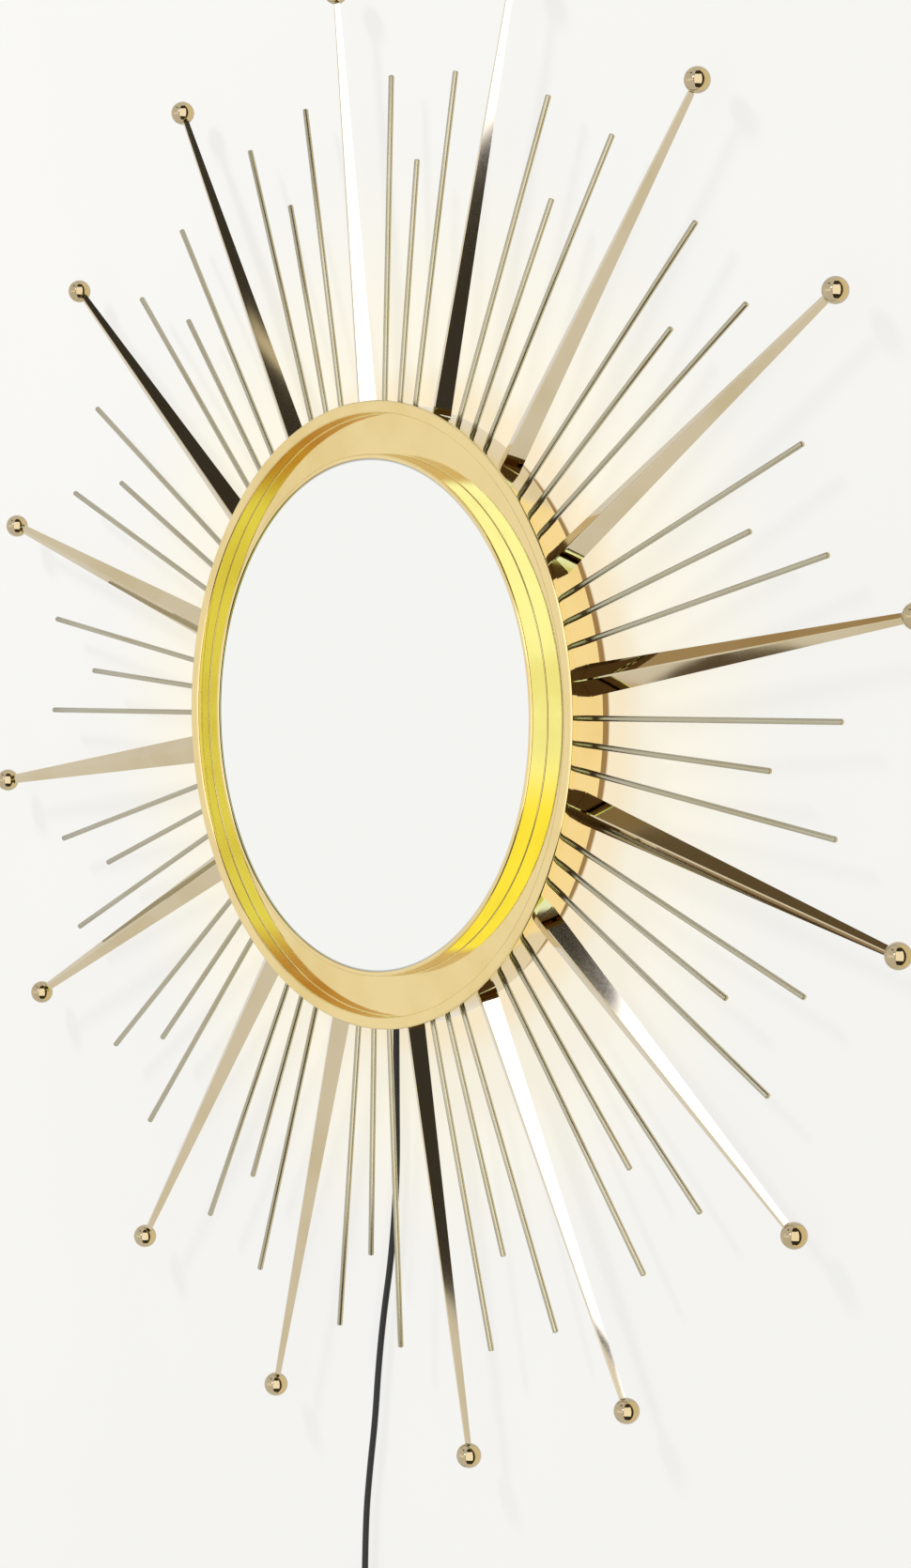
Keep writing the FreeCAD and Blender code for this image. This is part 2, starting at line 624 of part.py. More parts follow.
def boardClips(clips):
    shapes, screws = [], []
    for number in range(clips):
        angle = clipAngle(number)
        blank = turned(f"clip_blank_{number}", [
            ("clip_end_radius", "-board_back_off"),
            ("drum_inner_radius", "-board_back_off"),
            ("drum_inner_radius", "-clip_foot_off"),
            ("clip_inner_radius", "-clip_foot_off"),
            ("clip_inner_radius", "-clip_arm_off"),
            ("clip_end_radius", "-clip_arm_off"),
        ], "clip_angle")
        place(blank, about=(0, 1, 0), angle=f"-({angle}) - clip_angle / 2")
        hole = spoke(f"clip_bore_{number}", "screw_radius + fit_gap", "clip_inner_radius - overrun",
                     "drum_inner_radius + overrun", angle, "clip_screw_off")
        shapes.append(cut(f"clip_{number}", blank, [hole]))
        head = spoke(f"clip_screw_head_{number}", "screw_head_radius",
                     "clip_inner_radius - fit_gap - screw_head_height", "clip_inner_radius - fit_gap",
                     angle, "clip_screw_off")
        shank = spoke(f"clip_screw_shank_{number}", "screw_radius", "clip_inner_radius - screw_head_height",
                      "drum_inner_radius + clip_bite", angle, "clip_screw_off")
        screws.append(joined(f"clip_screw_{number}", [head, shank]))
    keep(group("board_clips", shapes), "board_clips")
    keep(group("clip_screws", screws), "clip_screws")


def panScrewSpot(number):
    angle = f"first_ray_angle + 180 / ray_count + {number} * 360 / pan_screw_count"
    return f"pan_screw_circle * cos({angle})", f"pan_screw_circle * sin({angle})"


def panScrewHoles(owner):
    holes = []
    for number in range(int(size("pan_screw_count"))):
        x, z = panScrewSpot(number)
        holes.append(inward(f"{owner}_screw_hole_{number}", "screw_radius + fit_gap",
                            "flange_front_off - brim_back_off + 2 * overrun", x, "brim_back_off - overrun", z))
    return holes


def backPan():
    pressing = turned("pan_pressing", [
        ("0", "0"),
        ("crown_flat_radius", "0", "press_radius", -1),
        ("crown_radius", "-press_radius"),
        ("crown_radius", "-brim_back_off"),
        ("brim_radius", "-brim_back_off"),
        ("brim_radius", "-wall_gap"),
        ("crown_inner_radius", "-wall_gap"),
        ("crown_inner_radius", "-pan_sheet"),
        ("0", "-pan_sheet"),
    ])
    holes = panScrewHoles("pan")
    through = "pan_sheet + 2 * overrun"
    for side, sign in (("left", "-"), ("right", "")):
        x = f"{sign}keyhole_spread / 2"
        holes.append(inward(f"keyhole_head_{side}", "keyhole_head_radius", through, x, "-overrun",
                            "keyhole_rise"))
        holes.append(inward(f"keyhole_top_{side}", "keyhole_slot_radius", through, x, "-overrun",
                            "keyhole_rise + keyhole_travel"))
        holes.append(box(f"keyhole_slot_{side}", "2 * keyhole_slot_radius", through, "keyhole_travel", x,
                         "-pan_sheet / 2", "keyhole_rise + keyhole_travel / 2"))
    holes.append(box("bush_notch", "bush_width + 2 * fit_gap", "brim_back_off - pan_sheet",
                     "2 * overrun + 2 * pan_sheet", "-cord_exit", "-(brim_back_off + pan_sheet) / 2",
                     "-crown_radius"))
    for number in range(2):
        holes.append(upright(f"lead_hole_{number}", "lead_radius + fit_gap", "-crown_radius - overrun",
                             "2 * overrun + 2 * pan_sheet", f"lead_shift + {number} * lead_pitch", "cord_off"))
    for number, (x, z, _) in enumerate(innerScrewSpots()):
        holes.append(inward(f"inner_screw_hole_{number}", "screw_radius + fit_gap", through, x, "-overrun", z))
    keep(cut("back_pan", pressing, holes), "back_pan")
    screws = []
    for number in range(int(size("pan_screw_count"))):
        x, z = panScrewSpot(number)
        head = inward(f"pan_screw_head_{number}", "screw_head_radius", "screw_head_height", x,
                      "brim_back_off - screw_head_height", z)
        shank = inward(f"pan_screw_shank_{number}", "screw_radius",
                       "flange_front_off - brim_back_off + screw_head_height + screw_past", x,
                       "brim_back_off - screw_head_height", z)
        screws.append(joined(f"pan_screw_{number}", [head, shank]))
    keep(group("pan_screws", screws), "pan_screws")


def lightStrip():
    tape = turned("led_tape", [
        ("tape_inner_radius", "-tape_front_off"),
        ("tape_radius", "-tape_front_off"),
        ("tape_radius", "-tape_back_off"),
        ("tape_inner_radius", "-tape_back_off"),
    ], "tape_sweep_angle")
    place(tape, about=(0, 1, 0), angle="-tape_start_angle - tape_sweep_angle")
    keep(tape, "led_tape")
    chips = []
    for number in range(int(size("chip_count"))):
        angle = f"tape_start_angle + tape_sweep_angle * ({number} + 1 / 2) / chip_count"
        chip = bind(doc.addObject("Part::Box", f"chip_{number}"), Length="chip_height", Width="chip_width",
                    Height="chip_length")
        along = "chip_length / 2"
        place(chip, f"tape_radius * cos({angle}) + {along} * sin({angle})", "-tape_middle_off - chip_width / 2",
              f"tape_radius * sin({angle}) - {along} * cos({angle})", about=(0, 1, 0), angle=f"-({angle})")
        chips.append(chip)
    keep(group("led_chips", chips), "led_chips")
    leads = []
    for number in range(2):
        bottom = "-crown_radius + lead_short"
        leads.append(upright(f"lead_{number}", "lead_radius", bottom,
                             f"-terminal_drop - terminal_length / 2 - ({bottom})",
                             f"lead_shift + {number} * lead_pitch", "cord_off"))
    keep(group("led_leads", leads), "led_leads")


def innerScrewSpots():
    """(right, up, height of what it holds) of the saddle's screws and then the block's."""
    spots = []
    for sign in ("-", "+"):
        spots.append((f"-cord_exit {sign} (clamp_width / 2 - inner_screw_inset)", "-clamp_drop", "clamp_off"))
    for sign in ("-", "+"):
        spots.append(("terminal_shift", f"-terminal_drop {sign} (terminal_length / 2 - inner_screw_inset)",
                      "terminal_off"))
    return spots


def leadFixings():
    holes, screws = [], []
    for number, (x, z, height) in enumerate(innerScrewSpots()):
        holes.append(inward(f"fixing_hole_{number}", "screw_radius + fit_gap", f"{height} + 2 * overrun", x,
                            "-overrun", z))
        head = inward(f"inner_screw_head_{number}", "screw_head_radius", "screw_head_height", x, height, z)
        shank = inward(f"inner_screw_shank_{number}", "screw_radius",
                       f"{height} - fit_gap + screw_head_height", x, "fit_gap", z)
        screws.append(joined(f"inner_screw_{number}", [head, shank]))
    saddle = box("saddle_block", "clamp_width", "clamp_height", "clamp_length", "-cord_exit",
                 "-pan_sheet - clamp_height / 2", "-clamp_drop")
    bottom, channel = "-clamp_drop - clamp_length / 2 - overrun", "clamp_length + 2 * overrun"
    arch = upright("saddle_arch", "cord_radius + fit_gap", bottom, channel, "-cord_exit", "cord_off")
    mouth = box("saddle_mouth", "2 * (cord_radius + fit_gap)", "cord_off", channel, "-cord_exit",
                "-cord_off / 2", "-clamp_drop")
    keep(cut("cord_clamp", saddle, [arch, mouth] + holes[:2]), "cord_clamp")
    block = box("terminal_blank", "terminal_width", "terminal_height", "terminal_length", "terminal_shift",
                "-pan_sheet - terminal_height / 2", "-terminal_drop")
    keep(cut("terminal_block", block, holes[2:]), "terminal_block")
    keep(group("inner_screws", screws), "inner_screws")
    middle = "-(brim_back_off + pan_sheet) / 2"
    reach = "sqrt(crown_radius ^ 2 - (cord_exit + bush_width / 2 + bush_lip) ^ 2) - fit_gap"
    neck = box("bush_neck", "bush_width", "bush_height", "2 * pan_sheet + bush_lip_thick", "-cord_exit",
               middle, "-crown_radius")
    lip = box("bush_inner_lip", "bush_width + 2 * bush_lip", "bush_height", "bush_lip_thick", "-cord_exit",
              middle, f"-({reach}) + pan_sheet + 2 * fit_gap + bush_lip_thick / 2")
    outer = box("bush_outer_lip", "bush_width + 2 * bush_lip", "bush_height", "bush_lip_thick", "-cord_exit",
                middle, "-crown_radius - fit_gap - bush_lip_thick / 2")
    bore = upright("bush_bore", "cord_radius + fit_gap", "-crown_radius - overrun - 2 * bush_lip_thick",
                   "2 * overrun + 4 * bush_lip_thick", "-cord_exit", "cord_off")
    keep(cut("cord_bush", joined("bush_blank", [neck, lip, outer]), [bore]), "cord_bush")


def flat(x, z):
    """A point of the lead where it lies along the wall."""
    return FreeCAD.Vector(x, -size("cord_off"), z)


def rounded(points):
    """Straight runs with an arc at each point, each arc as large as its two runs allow."""
    share = 0.45
    edges, radii = [], []
    at = points[0]
    for before, corner, after in zip(points, points[1:], points[2:]):
        into, out = corner - before, after - corner
        turn = into.getAngle(out)
        trim = share * min(into.Length, out.Length)
        radii.append(trim / math.tan(turn / 2))
        start = corner - into.normalize() * trim
        end = corner + out.normalize() * trim
        inside = (start + end) / 2 - corner
        bulge = radii[-1] / math.cos(turn / 2) - radii[-1]
        edges.append(Part.LineSegment(at, start).toShape())
        edges.append(Part.Arc(start, corner + inside.normalize() * bulge, end).toShape())
        at = end
    edges.append(Part.LineSegment(at, points[-1]).toShape())
    print("lead's bend radii, mm:", [round(radius) for radius in radii])
    return Part.Wire(edges)


def tube(name, wire):
    """A round lead along a wire; its volume is compared with its section times its length."""
    radius = size("cord_radius")
    first = wire.OrderedEdges[0]
    start = first.valueAt(first.FirstParameter)
    ring = Part.Wire(Part.Circle(start, first.tangentAt(first.FirstParameter), radius).toShape())
    lead = doc.addObject("Part::Feature", name)
    lead.Shape = wire.makePipeShell([ring], True, False)
    share = lead.Shape.Volume / (math.pi * radius ** 2 * wire.Length)
    print(f"{name}: {wire.Length:.1f} mm long, volume {share:.4f} of section times length")
    return keep(lead, name)


def biarc(start, startWay, end, endWay):
    """Two arcs that leave start and reach end in the given ways and meet smoothly."""
    span, ways = end - start, startWay + endWay
    slack = 2 * (1 - startWay.dot(endWay))
    along = span.dot(ways)
    reach = (math.sqrt(along ** 2 + slack * span.dot(span)) - along) / slack
    near, far = start + startWay * reach, end - endWay * reach
    middle = (near + far) / 2
    edges = []
    for a, corner, b in ((start, near, middle), (middle, far, end)):
        half = (b - a).Length / 2
        top = corner - (a + b) / 2
        rise = half * (reach - half) / top.Length
        edges.append(Part.Arc(a, (a + b) / 2 + top.normalize() * rise, b).toShape())
    return edges


def coilPoint(turn, middle):
    """A point of the coil after a number of turns; each layer spirals in or out and then climbs."""
    pitch = size("coil_pitch")
    into, layer = turn % (2 * COIL_TURNS), min(round(turn / COIL_TURNS), COIL_LAYERS - 1)
    radius = size("coil_outer_radius") - pitch * min(into, 2 * COIL_TURNS - into)
    climb = 0.0
    for change in range(1, COIL_LAYERS):
        part = min(max((turn - change * COIL_TURNS) * 2 + 1 / 2, 0), 1)
        climb += part * part * (3 - 2 * part)
    angle = -2 * math.pi * turn
    return middle + FreeCAD.Vector(radius * math.cos(angle), -pitch * climb, radius * math.sin(angle))


def coilWay(turn, middle):
    step = 1 / 200
    return (coilPoint(turn + step, middle) - coilPoint(turn - step, middle)).normalize()


def selfGap(points, skip):
    """The least distance between stretches of the coil that lie apart along it."""
    least = math.inf
    for number, point in enumerate(points):
        for other in points[number + skip:]:
            least = min(least, point.distanceToPoint(other))
    return least


def cordCoil(top):
    """The lead below the switch: a straight lead-in, the coil and a straight tail."""
    down = FreeCAD.Vector(0, 0, -1)
    start = top + down * size("coil_lead_in")
    middle = start - FreeCAD.Vector(size("coil_outer_radius"), 0, 0)
    turns = COIL_TURNS * COIL_LAYERS
    count = turns * STEPS_PER_TURN
    spots = [coilPoint(turns * number / count, middle) for number in range(count + 1)]
    ways = [coilWay(turns * number / count, middle) for number in range(count + 1)]
    ways[0] = ways[-1] = down
    edges = [Part.LineSegment(top, start).toShape()]
    for number in range(count):
        edges += biarc(spots[number], ways[number], spots[number + 1], ways[number + 1])
    edges.append(Part.LineSegment(spots[-1], spots[-1] + down * size("coil_tail")).toShape())
    wire = Part.Wire(edges)
    tube("cord_coil", wire)
    samples = 24
    points = []
    for edge in edges:
        points += edge.discretize(samples // STEPS_PER_TURN)[:-1]
    gap = selfGap(points, samples) - 2 * size("cord_radius")
    print(f"cord_coil: {turns} turns, least gap to itself {gap:.2f} mm")
    return middle, spots[-1] + down * size("coil_tail")


def cordTies(middle):
    ties = []
    inner = "coil_mid_radius - coil_pitch * {0} / 2 - cord_radius".format(COIL_TURNS)
    inside = f"sqrt(({inner}) ^ 2 - (tie_width / 2) ^ 2) - tie_play"
    outside = "coil_outer_radius + cord_radius + tie_play"
    near, far = "cord_off - cord_radius - tie_play", "coil_front_off + cord_radius + tie_play"
    for number, angle in enumerate(TIE_ANGLES):
        blocks = []
        for name, wall, length in (("band", "tie_thick", "tie_width"), ("hollow", "0", "tie_width + 2 * overrun")):
            start, end = f"{inside} - {wall}", f"{outside} + {wall}"
            back, front = f"{near} - {wall}", f"{far} + {wall}"
            block = bind(doc.addObject("Part::Box", f"tie_{name}_{number}"),
                         Length=f"({end}) - ({start})", Width=f"({front}) - ({back})", Height=length)
            across, along = f"({start})", f"({length}) / 2"
            place(block, f"{middle.x} + {across} * cos({angle}) + {along} * sin({angle})", f"-({front})",
                  f"{middle.z} + {across} * sin({angle}) - {along} * cos({angle})",
                  about=(0, 1, 0), angle=f"-{angle}")
            blocks.append(block)
        ties.append(cut(f"tie_{number}", blocks[0], blocks[1:]))
    keep(group("cord_ties", ties), "cord_ties")


def stadium(name, x, top, offset, thick):
    """The switch's long outline with round ends, drawn about its own middle."""
    body = newBody(name)
    bound = newSketch(body, name + "_outline", "XZ_Plane")
    drawOutline(bound, [
        ("switch_half_width", "switch_run", "switch_half_width", -1),
        ("0", "switch_end", "switch_half_width", -1),
        ("-switch_half_width", "switch_run"),
        ("-switch_half_width", "-switch_run", "switch_half_width", -1),
        ("0", "-switch_end", "switch_half_width", -1),
        ("switch_half_width", "-switch_run"),
    ])
    pad = body.newObject("PartDesign::Pad", name + "_pad")
    pad.Profile = bound
    bind(pad, Length=thick)
    return place(body, f"{x}", f"-({offset})", f"{top} - switch_length / 2")


def inlineSwitch(x, top):
    centre = f"{top} - switch_length / 2"
    base = stadium("switch_base_blank", x, top, "switch_stand", "switch_base_thick")
    sleeves = []
    for name, bottom in (("upper", f"{top} - collar_length / 2"), ("lower", f"{top} - switch_length - collar_length / 2")):
        sleeves.append(upright(f"switch_sleeve_{name}", "collar_radius", bottom, "collar_length", f"{x}", "cord_off"))
    opening = ("rocker_width + 2 * rocker_play", "rocker_length + 2 * rocker_play")
    well = box("rocker_well", opening[0], "2 * (keel_swing + rocker_play)", opening[1], f"{x}", "-pivot_off", centre)
    window = box("rocker_window", opening[0], "2 * (pivot_off - cover_back_off + pivot_depth)", opening[1], f"{x}",
                 "-pivot_off", centre)
    pivots = rod("pivot_holes", "trunnion_radius + running_gap", "rocker_width + 2 * (trunnion_length + rocker_play)",
                 x=f"{x} - rocker_width / 2 - trunnion_length - rocker_play", y="-pivot_off", z=centre,
                 about=(0, 1, 0), angle="90")
    screws, baseHoles, coverHoles = [], [well], [window, pivots]
    for number, sign in enumerate(("-", "+")):
        z = f"{centre} {sign} (switch_length / 2 - switch_screw_inset)"
        head = inward(f"switch_screw_head_{number}", "switch_screw_head", "screw_head_height", f"{x}",
                      "switch_stand", z)
        length = "switch_base_thick + switch_screw_bite"
        shank = inward(f"switch_screw_shank_{number}", "switch_screw_radius", length, f"{x}", "switch_stand", z)
        screws.append(joined(f"switch_screw_{number}", [head, shank]))
        for holes, name in ((baseHoles, "base"), (coverHoles, "cover")):
            holes.append(inward(f"switch_{name}_hole_{number}", "switch_screw_radius + fit_gap",
                                f"{length} + fit_gap", f"{x}", "switch_stand", z))
        baseHoles.append(inward(f"switch_sink_{number}", "switch_screw_head + fit_gap",
                                "screw_head_height + fit_gap + overrun", f"{x}", "switch_stand - overrun", z))
    keep(cut("switch_base", joined("switch_base_shell", [base] + sleeves), baseHoles), "switch_base")
    cover = stadium("switch_cover_blank", x, top, "cover_back_off", "switch_cover_thick")
    keep(cut("switch_cover", cover, coverHoles), "switch_cover")
    keep(group("switch_screws", screws), "switch_screws")
    rocker = newBody("switch_rocker")
    padOn(rocker, "rocker", "YZ_Plane", "-rocker_width / 2", "rocker_width", lambda sketch: drawOutline(sketch, [
        ("-rocker_rise", "-rocker_top_half"),
        ("0", "-rocker_half"),
        ("rocker_keel", "-rocker_foot"),
        ("rocker_keel", "rocker_foot"),
        ("0", "rocker_half"),
        ("-rocker_rise", "rocker_top_half"),
        ("-rocker_middle_rise", "0"),
    ]))
    padOn(rocker, "trunnions", "YZ_Plane", "-rocker_width / 2 - trunnion_length", "rocker_width + 2 * trunnion_length",
          lambda sketch: drawCircle(sketch, "trunnion_radius"))
    place(rocker, f"{x}", "-pivot_off", centre, about=(1, 0, 0), angle="rocker_tilt_angle")
    keep(rocker, "switch_rocker")


def plugInSupply(end):
    """The supply hangs on the lead's end, its pins down."""
    off = f"{-end.y}"
    depth = "adapter_stand + adapter_depth"
    half, corner = "adapter_width / 2", "adapter_corner"
    case = newBody("adapter_case")
    lid = newBody("adapter_lid_blank")
    for body, name, length in ((case, "case", "adapter_length"), (lid, "lid", "adapter_lid")):
        padOn(body, "adapter_" + name, "XY_Plane", "0", length, lambda sketch: drawOutline(sketch, [
            ("supply_flat", "-supply_back", "adapter_corner", 1),
            ("supply_half", "-supply_back_flat"),
            ("supply_half", "-supply_front_flat", "adapter_corner", 1),
            ("supply_flat", "-supply_front"),
            ("-supply_flat", "-supply_front", "adapter_corner", 1),
            ("-supply_half", "-supply_front_flat"),
            ("-supply_half", "-supply_back_flat", "adapter_corner", 1),
            ("-supply_flat", "-supply_back"),
        ]))
    top = f"{end.z} - sleeve_length"
    place(case, f"{end.x}", "0", f"{top} - adapter_length")
    place(lid, f"{end.x}", "0", f"{top} - adapter_length - adapter_lid")
    sleeve = bind(doc.addObject("Part::Cone", "supply_sleeve"), Radius1="sleeve_radius",
                  Radius2="cord_radius + sleeve_end_wall", Height="sleeve_length")
    place(sleeve, f"{end.x}", f"-({off})", top)
    keep(joined("adapter_body", [case, sleeve]), "adapter_body")
    prongs, holes = [], []
    for number, sign in enumerate(("-", "+")):
        x = f"{end.x} {sign} prong_pitch / 2"
        bottom = f"{top} - adapter_length - adapter_lid - prong_length"
        middle = "adapter_stand + adapter_depth / 2"
        prongs.append(upright(f"prong_{number}", "prong_radius", bottom, "prong_length + adapter_lid", x, middle))
        holes.append(upright(f"prong_hole_{number}", "prong_radius + fit_gap", bottom,
                             "prong_length + adapter_lid + overrun", x, middle))
    keep(cut("adapter_cover", lid, holes), "adapter_cover")
    keep(group("adapter_pins", prongs), "adapter_pins")


def checkAndWrite():
    doc.recompute()
    for thing in doc.Objects:
        if {"Invalid", "Error"} & set(thing.State):
            raise RuntimeError(f"{thing.Label}: {thing.State}")
    for piece in pieces:
        if piece.Shape.isNull() or not piece.Shape.isValid() or not piece.Shape.Solids:
            raise RuntimeError(f"{piece.Label} has no sound solid")
    os.makedirs("parts", exist_ok=True)
    for piece in pieces:
        piece.Shape.exportStep(f"parts/{piece.Label}.step")
    print(len(pieces), "pieces,", sum(len(piece.Shape.Solids) for piece in pieces), "solids")


def main():
    fillSheet()
    count = int(size("ray_count"))
    clips = int(size("clip_count"))
    frontRing()
    glassAndBoard()
    drum(count, clips)
    rods(count)
    for number in range(count):
        ray(number)
    for number in range(count):
        ball(number)
    rayNuts(count)
    boardClips(clips)
    backPan()
    lightStrip()
    leadFixings()
    tube("cord_run", rounded([flat(*spot) for spot in CORD_ROUTE]))
    switchX, switchTop = CORD_ROUTE[-1]
    collar = size("collar_length") / 2
    inlineSwitch(switchX, switchTop - collar)
    outlet = flat(switchX, switchTop - 2 * collar - size("switch_length"))
    middle, end = cordCoil(outlet)
    cordTies(middle)
    plugInSupply(end)
    checkAndWrite()


main()
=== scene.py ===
import math

import bmesh
import bpy
from mathutils import Matrix, Vector


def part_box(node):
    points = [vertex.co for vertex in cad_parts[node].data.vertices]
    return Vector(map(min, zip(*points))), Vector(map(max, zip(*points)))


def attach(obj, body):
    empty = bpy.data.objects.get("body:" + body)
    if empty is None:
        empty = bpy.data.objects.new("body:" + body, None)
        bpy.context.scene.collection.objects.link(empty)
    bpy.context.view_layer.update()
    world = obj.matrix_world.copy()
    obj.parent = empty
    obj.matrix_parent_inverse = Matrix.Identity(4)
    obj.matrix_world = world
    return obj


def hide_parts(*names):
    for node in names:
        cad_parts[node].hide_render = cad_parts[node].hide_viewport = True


# Sunburst wall mirror: looks, light and camera. Pieces are sized in millimetres, camera and stage in metres.
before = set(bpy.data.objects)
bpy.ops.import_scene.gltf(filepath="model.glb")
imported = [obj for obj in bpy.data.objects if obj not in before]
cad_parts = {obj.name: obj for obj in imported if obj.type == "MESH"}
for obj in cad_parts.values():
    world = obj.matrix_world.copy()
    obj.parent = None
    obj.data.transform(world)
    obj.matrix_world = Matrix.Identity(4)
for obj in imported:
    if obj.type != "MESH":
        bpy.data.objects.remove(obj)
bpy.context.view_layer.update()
mm = 0.001

cameraSet = {"spot": (1.57484, -1.22144, 0.07962), "azimuth": 51.559, "elevation": 3.336, "roll": 0.634,
             "lens": 86.36, "sight": 60}


def placed(name, data):
    thing = bpy.data.objects.new(name, data)
    bpy.context.collection.objects.link(thing)
    return thing


def setCamera():
    azimuth, elevation, roll = (math.radians(cameraSet[key]) for key in ("azimuth", "elevation", "roll"))
    ahead = Vector((-math.sin(azimuth) * math.cos(elevation), math.cos(azimuth) * math.cos(elevation),
                    -math.sin(elevation)))
    level = ahead.cross(Vector((0, 0, 1))).normalized()
    over = level.cross(ahead)
    right = math.cos(roll) * level + math.sin(roll) * over
    up = math.cos(roll) * over - math.sin(roll) * level
    data = bpy.data.cameras.new("photoCamera")
    data.lens = cameraSet["lens"]
    data.clip_end = cameraSet["sight"]
    camera = placed("photoCamera", data)
    turn = Matrix((right, up, -ahead)).transposed().to_4x4()
    camera.matrix_world = Matrix.Translation(cameraSet["spot"]) @ turn
    bpy.context.scene.camera = camera


setCamera()


# Shader sums: a socket that takes part in Python expressions.
class Sock:
    def __init__(self, tree, link):
        self.tree = tree
        self.link = link

    def maths(self, operation, first, second):
        node = self.tree.nodes.new("ShaderNodeMath")
        node.operation = operation
        for slot, value in zip(node.inputs, (first, second)):
            if isinstance(value, Sock):
                self.tree.links.new(value.link, slot)
            else:
                slot.default_value = value
        return Sock(self.tree, node.outputs[0])

    def __add__(self, other):
        return self.maths("ADD", self, other)

    def __radd__(self, other):
        return self.maths("ADD", other, self)

    def __sub__(self, other):
        return self.maths("SUBTRACT", self, other)

    def __mul__(self, other):
        return self.maths("MULTIPLY", self, other)

    def __pow__(self, other):
        return self.maths("POWER", self, other)


class Nodes:
    def __init__(self, tree):
        self.tree = tree

    def node(self, kind, settings=None, sockets=None, out=0):
        node = self.tree.nodes.new(kind)
        for key, value in (settings or {}).items():
            setattr(node, key, value)
        for key, value in (sockets or {}).items():
            self.put(node.inputs[key], value)
        return Sock(self.tree, node.outputs[out])

    def put(self, slot, value):
        if isinstance(value, Sock):
            self.tree.links.new(value.link, slot)
        elif slot.type == "RGBA" and len(value) == 3:
            slot.default_value = (*value, 1)
        else:
            slot.default_value = value

    def spotOf(self):
        return self.node("ShaderNodeTexCoord", out=3)     # object coordinates

    def parts(self, vector):
        first = self.node("ShaderNodeSeparateXYZ", sockets={0: vector})
        outs = first.link.node.outputs
        return [Sock(self.tree, outs[n]) for n in range(3)]

    def axisReach(self, vector):
        x, _, z = self.parts(vector)
        return (x * x + z * z) ** 0.5

    def noise(self, vector, scale, detail=2.0, rough=0.5):
        return self.node("ShaderNodeTexNoise",
                         sockets={"Vector": vector, "Scale": scale, "Detail": detail, "Roughness": rough})

    def span(self, value, low, high, toLow=0.0, toHigh=1.0):
        return self.node("ShaderNodeMapRange", {"interpolation_type": "SMOOTHSTEP"},
                         {0: value, 1: low, 2: high, 3: toLow, 4: toHigh})

    def inside(self, value, low, high, soft):
        return self.span(value, low - soft, low + soft) * self.span(value, high - soft, high + soft, 1.0, 0.0)

    def mix(self, factor, first, second):
        return self.node("ShaderNodeMix", {"data_type": "RGBA"}, {0: factor, 6: first, 7: second}, out=2)


class Finish(Nodes):
    def __init__(self, name, colour, rough, metal=0.0):
        self.material = bpy.data.materials.new(name)
        self.material.use_nodes = True
        super().__init__(self.material.node_tree)
        self.shader = self.tree.nodes["Principled BSDF"]
        self.feed("Base Color", colour)
        self.feed("Roughness", rough)
        self.feed("Metallic", metal)
        self.spot = self.spotOf()

    def feed(self, name, value):
        self.put(self.shader.inputs[name], value)

    def bump(self, height, distance, strength=1.0):
        sockets = {"Height": height, "Distance": distance, "Strength": strength}
        self.feed("Normal", self.node("ShaderNodeBump", sockets=sockets))


def shaded(colour, share):
    return tuple(part * share for part in colour)


# Finishes: noise scales are per metre, bump depths in metres.
brassLook = {"cloud": 22, "cloudDetail": 3, "fine": 650, "dull": (0.93, 0.9, 0.82), "dullSpan": (0.42, 0.75),
             "cloudRough": 0.03, "fineRough": 0.02, "lines": 2400, "lineRough": 0.04, "lineDeep": 0.000004,
             "waves": 16, "waveDetail": 1}
glassLook = {"colour": (0.955, 0.958, 0.95), "rough": 0.012, "wiped": 9, "wipedDetail": 4,
             "wipedSpan": (0.5, 0.8), "roughLow": 0.006, "roughMore": 0.012,
             "edgeShadeSpan": (0.1333, 0.1342), "edge": (0.5, 0.5, 0.47)}
paintLook = {"cloud": 18, "cloudDetail": 3, "cloudSpan": (0.35, 0.75), "fineRough": 0.12, "bump": 0.35}
steelLook = {"cloud": 26, "cloudDetail": 3, "flakeShare": 0.6, "cloudShare": 0.4, "dull": 0.78,
             "flakeRough": 0.14, "cloudRough": 0.08, "dents": 420, "dentDeep": 0.00004}
boardLook = {"colour": (0.26, 0.16, 0.09), "rough": 0.75, "fibre": 340, "detail": 5, "fibreRough": 0.7,
             "dark": (0.2, 0.12, 0.06), "light": (0.36, 0.24, 0.14), "roughLow": 0.62, "roughMore": 0.25,
             "deep": 0.0003, "bump": 0.5}
chipLook = {"colour": (0.92, 0.78, 0.42), "rough": 0.35, "glow": (1.0, 0.72, 0.36), "glowing": 1.2,
            "speck": 2600, "pale": (0.95, 0.82, 0.45), "deep": (0.85, 0.66, 0.28),
            "paleGlow": (1.0, 0.76, 0.4), "deepGlow": (1.0, 0.66, 0.28)}
noiseMiddle = 0.5


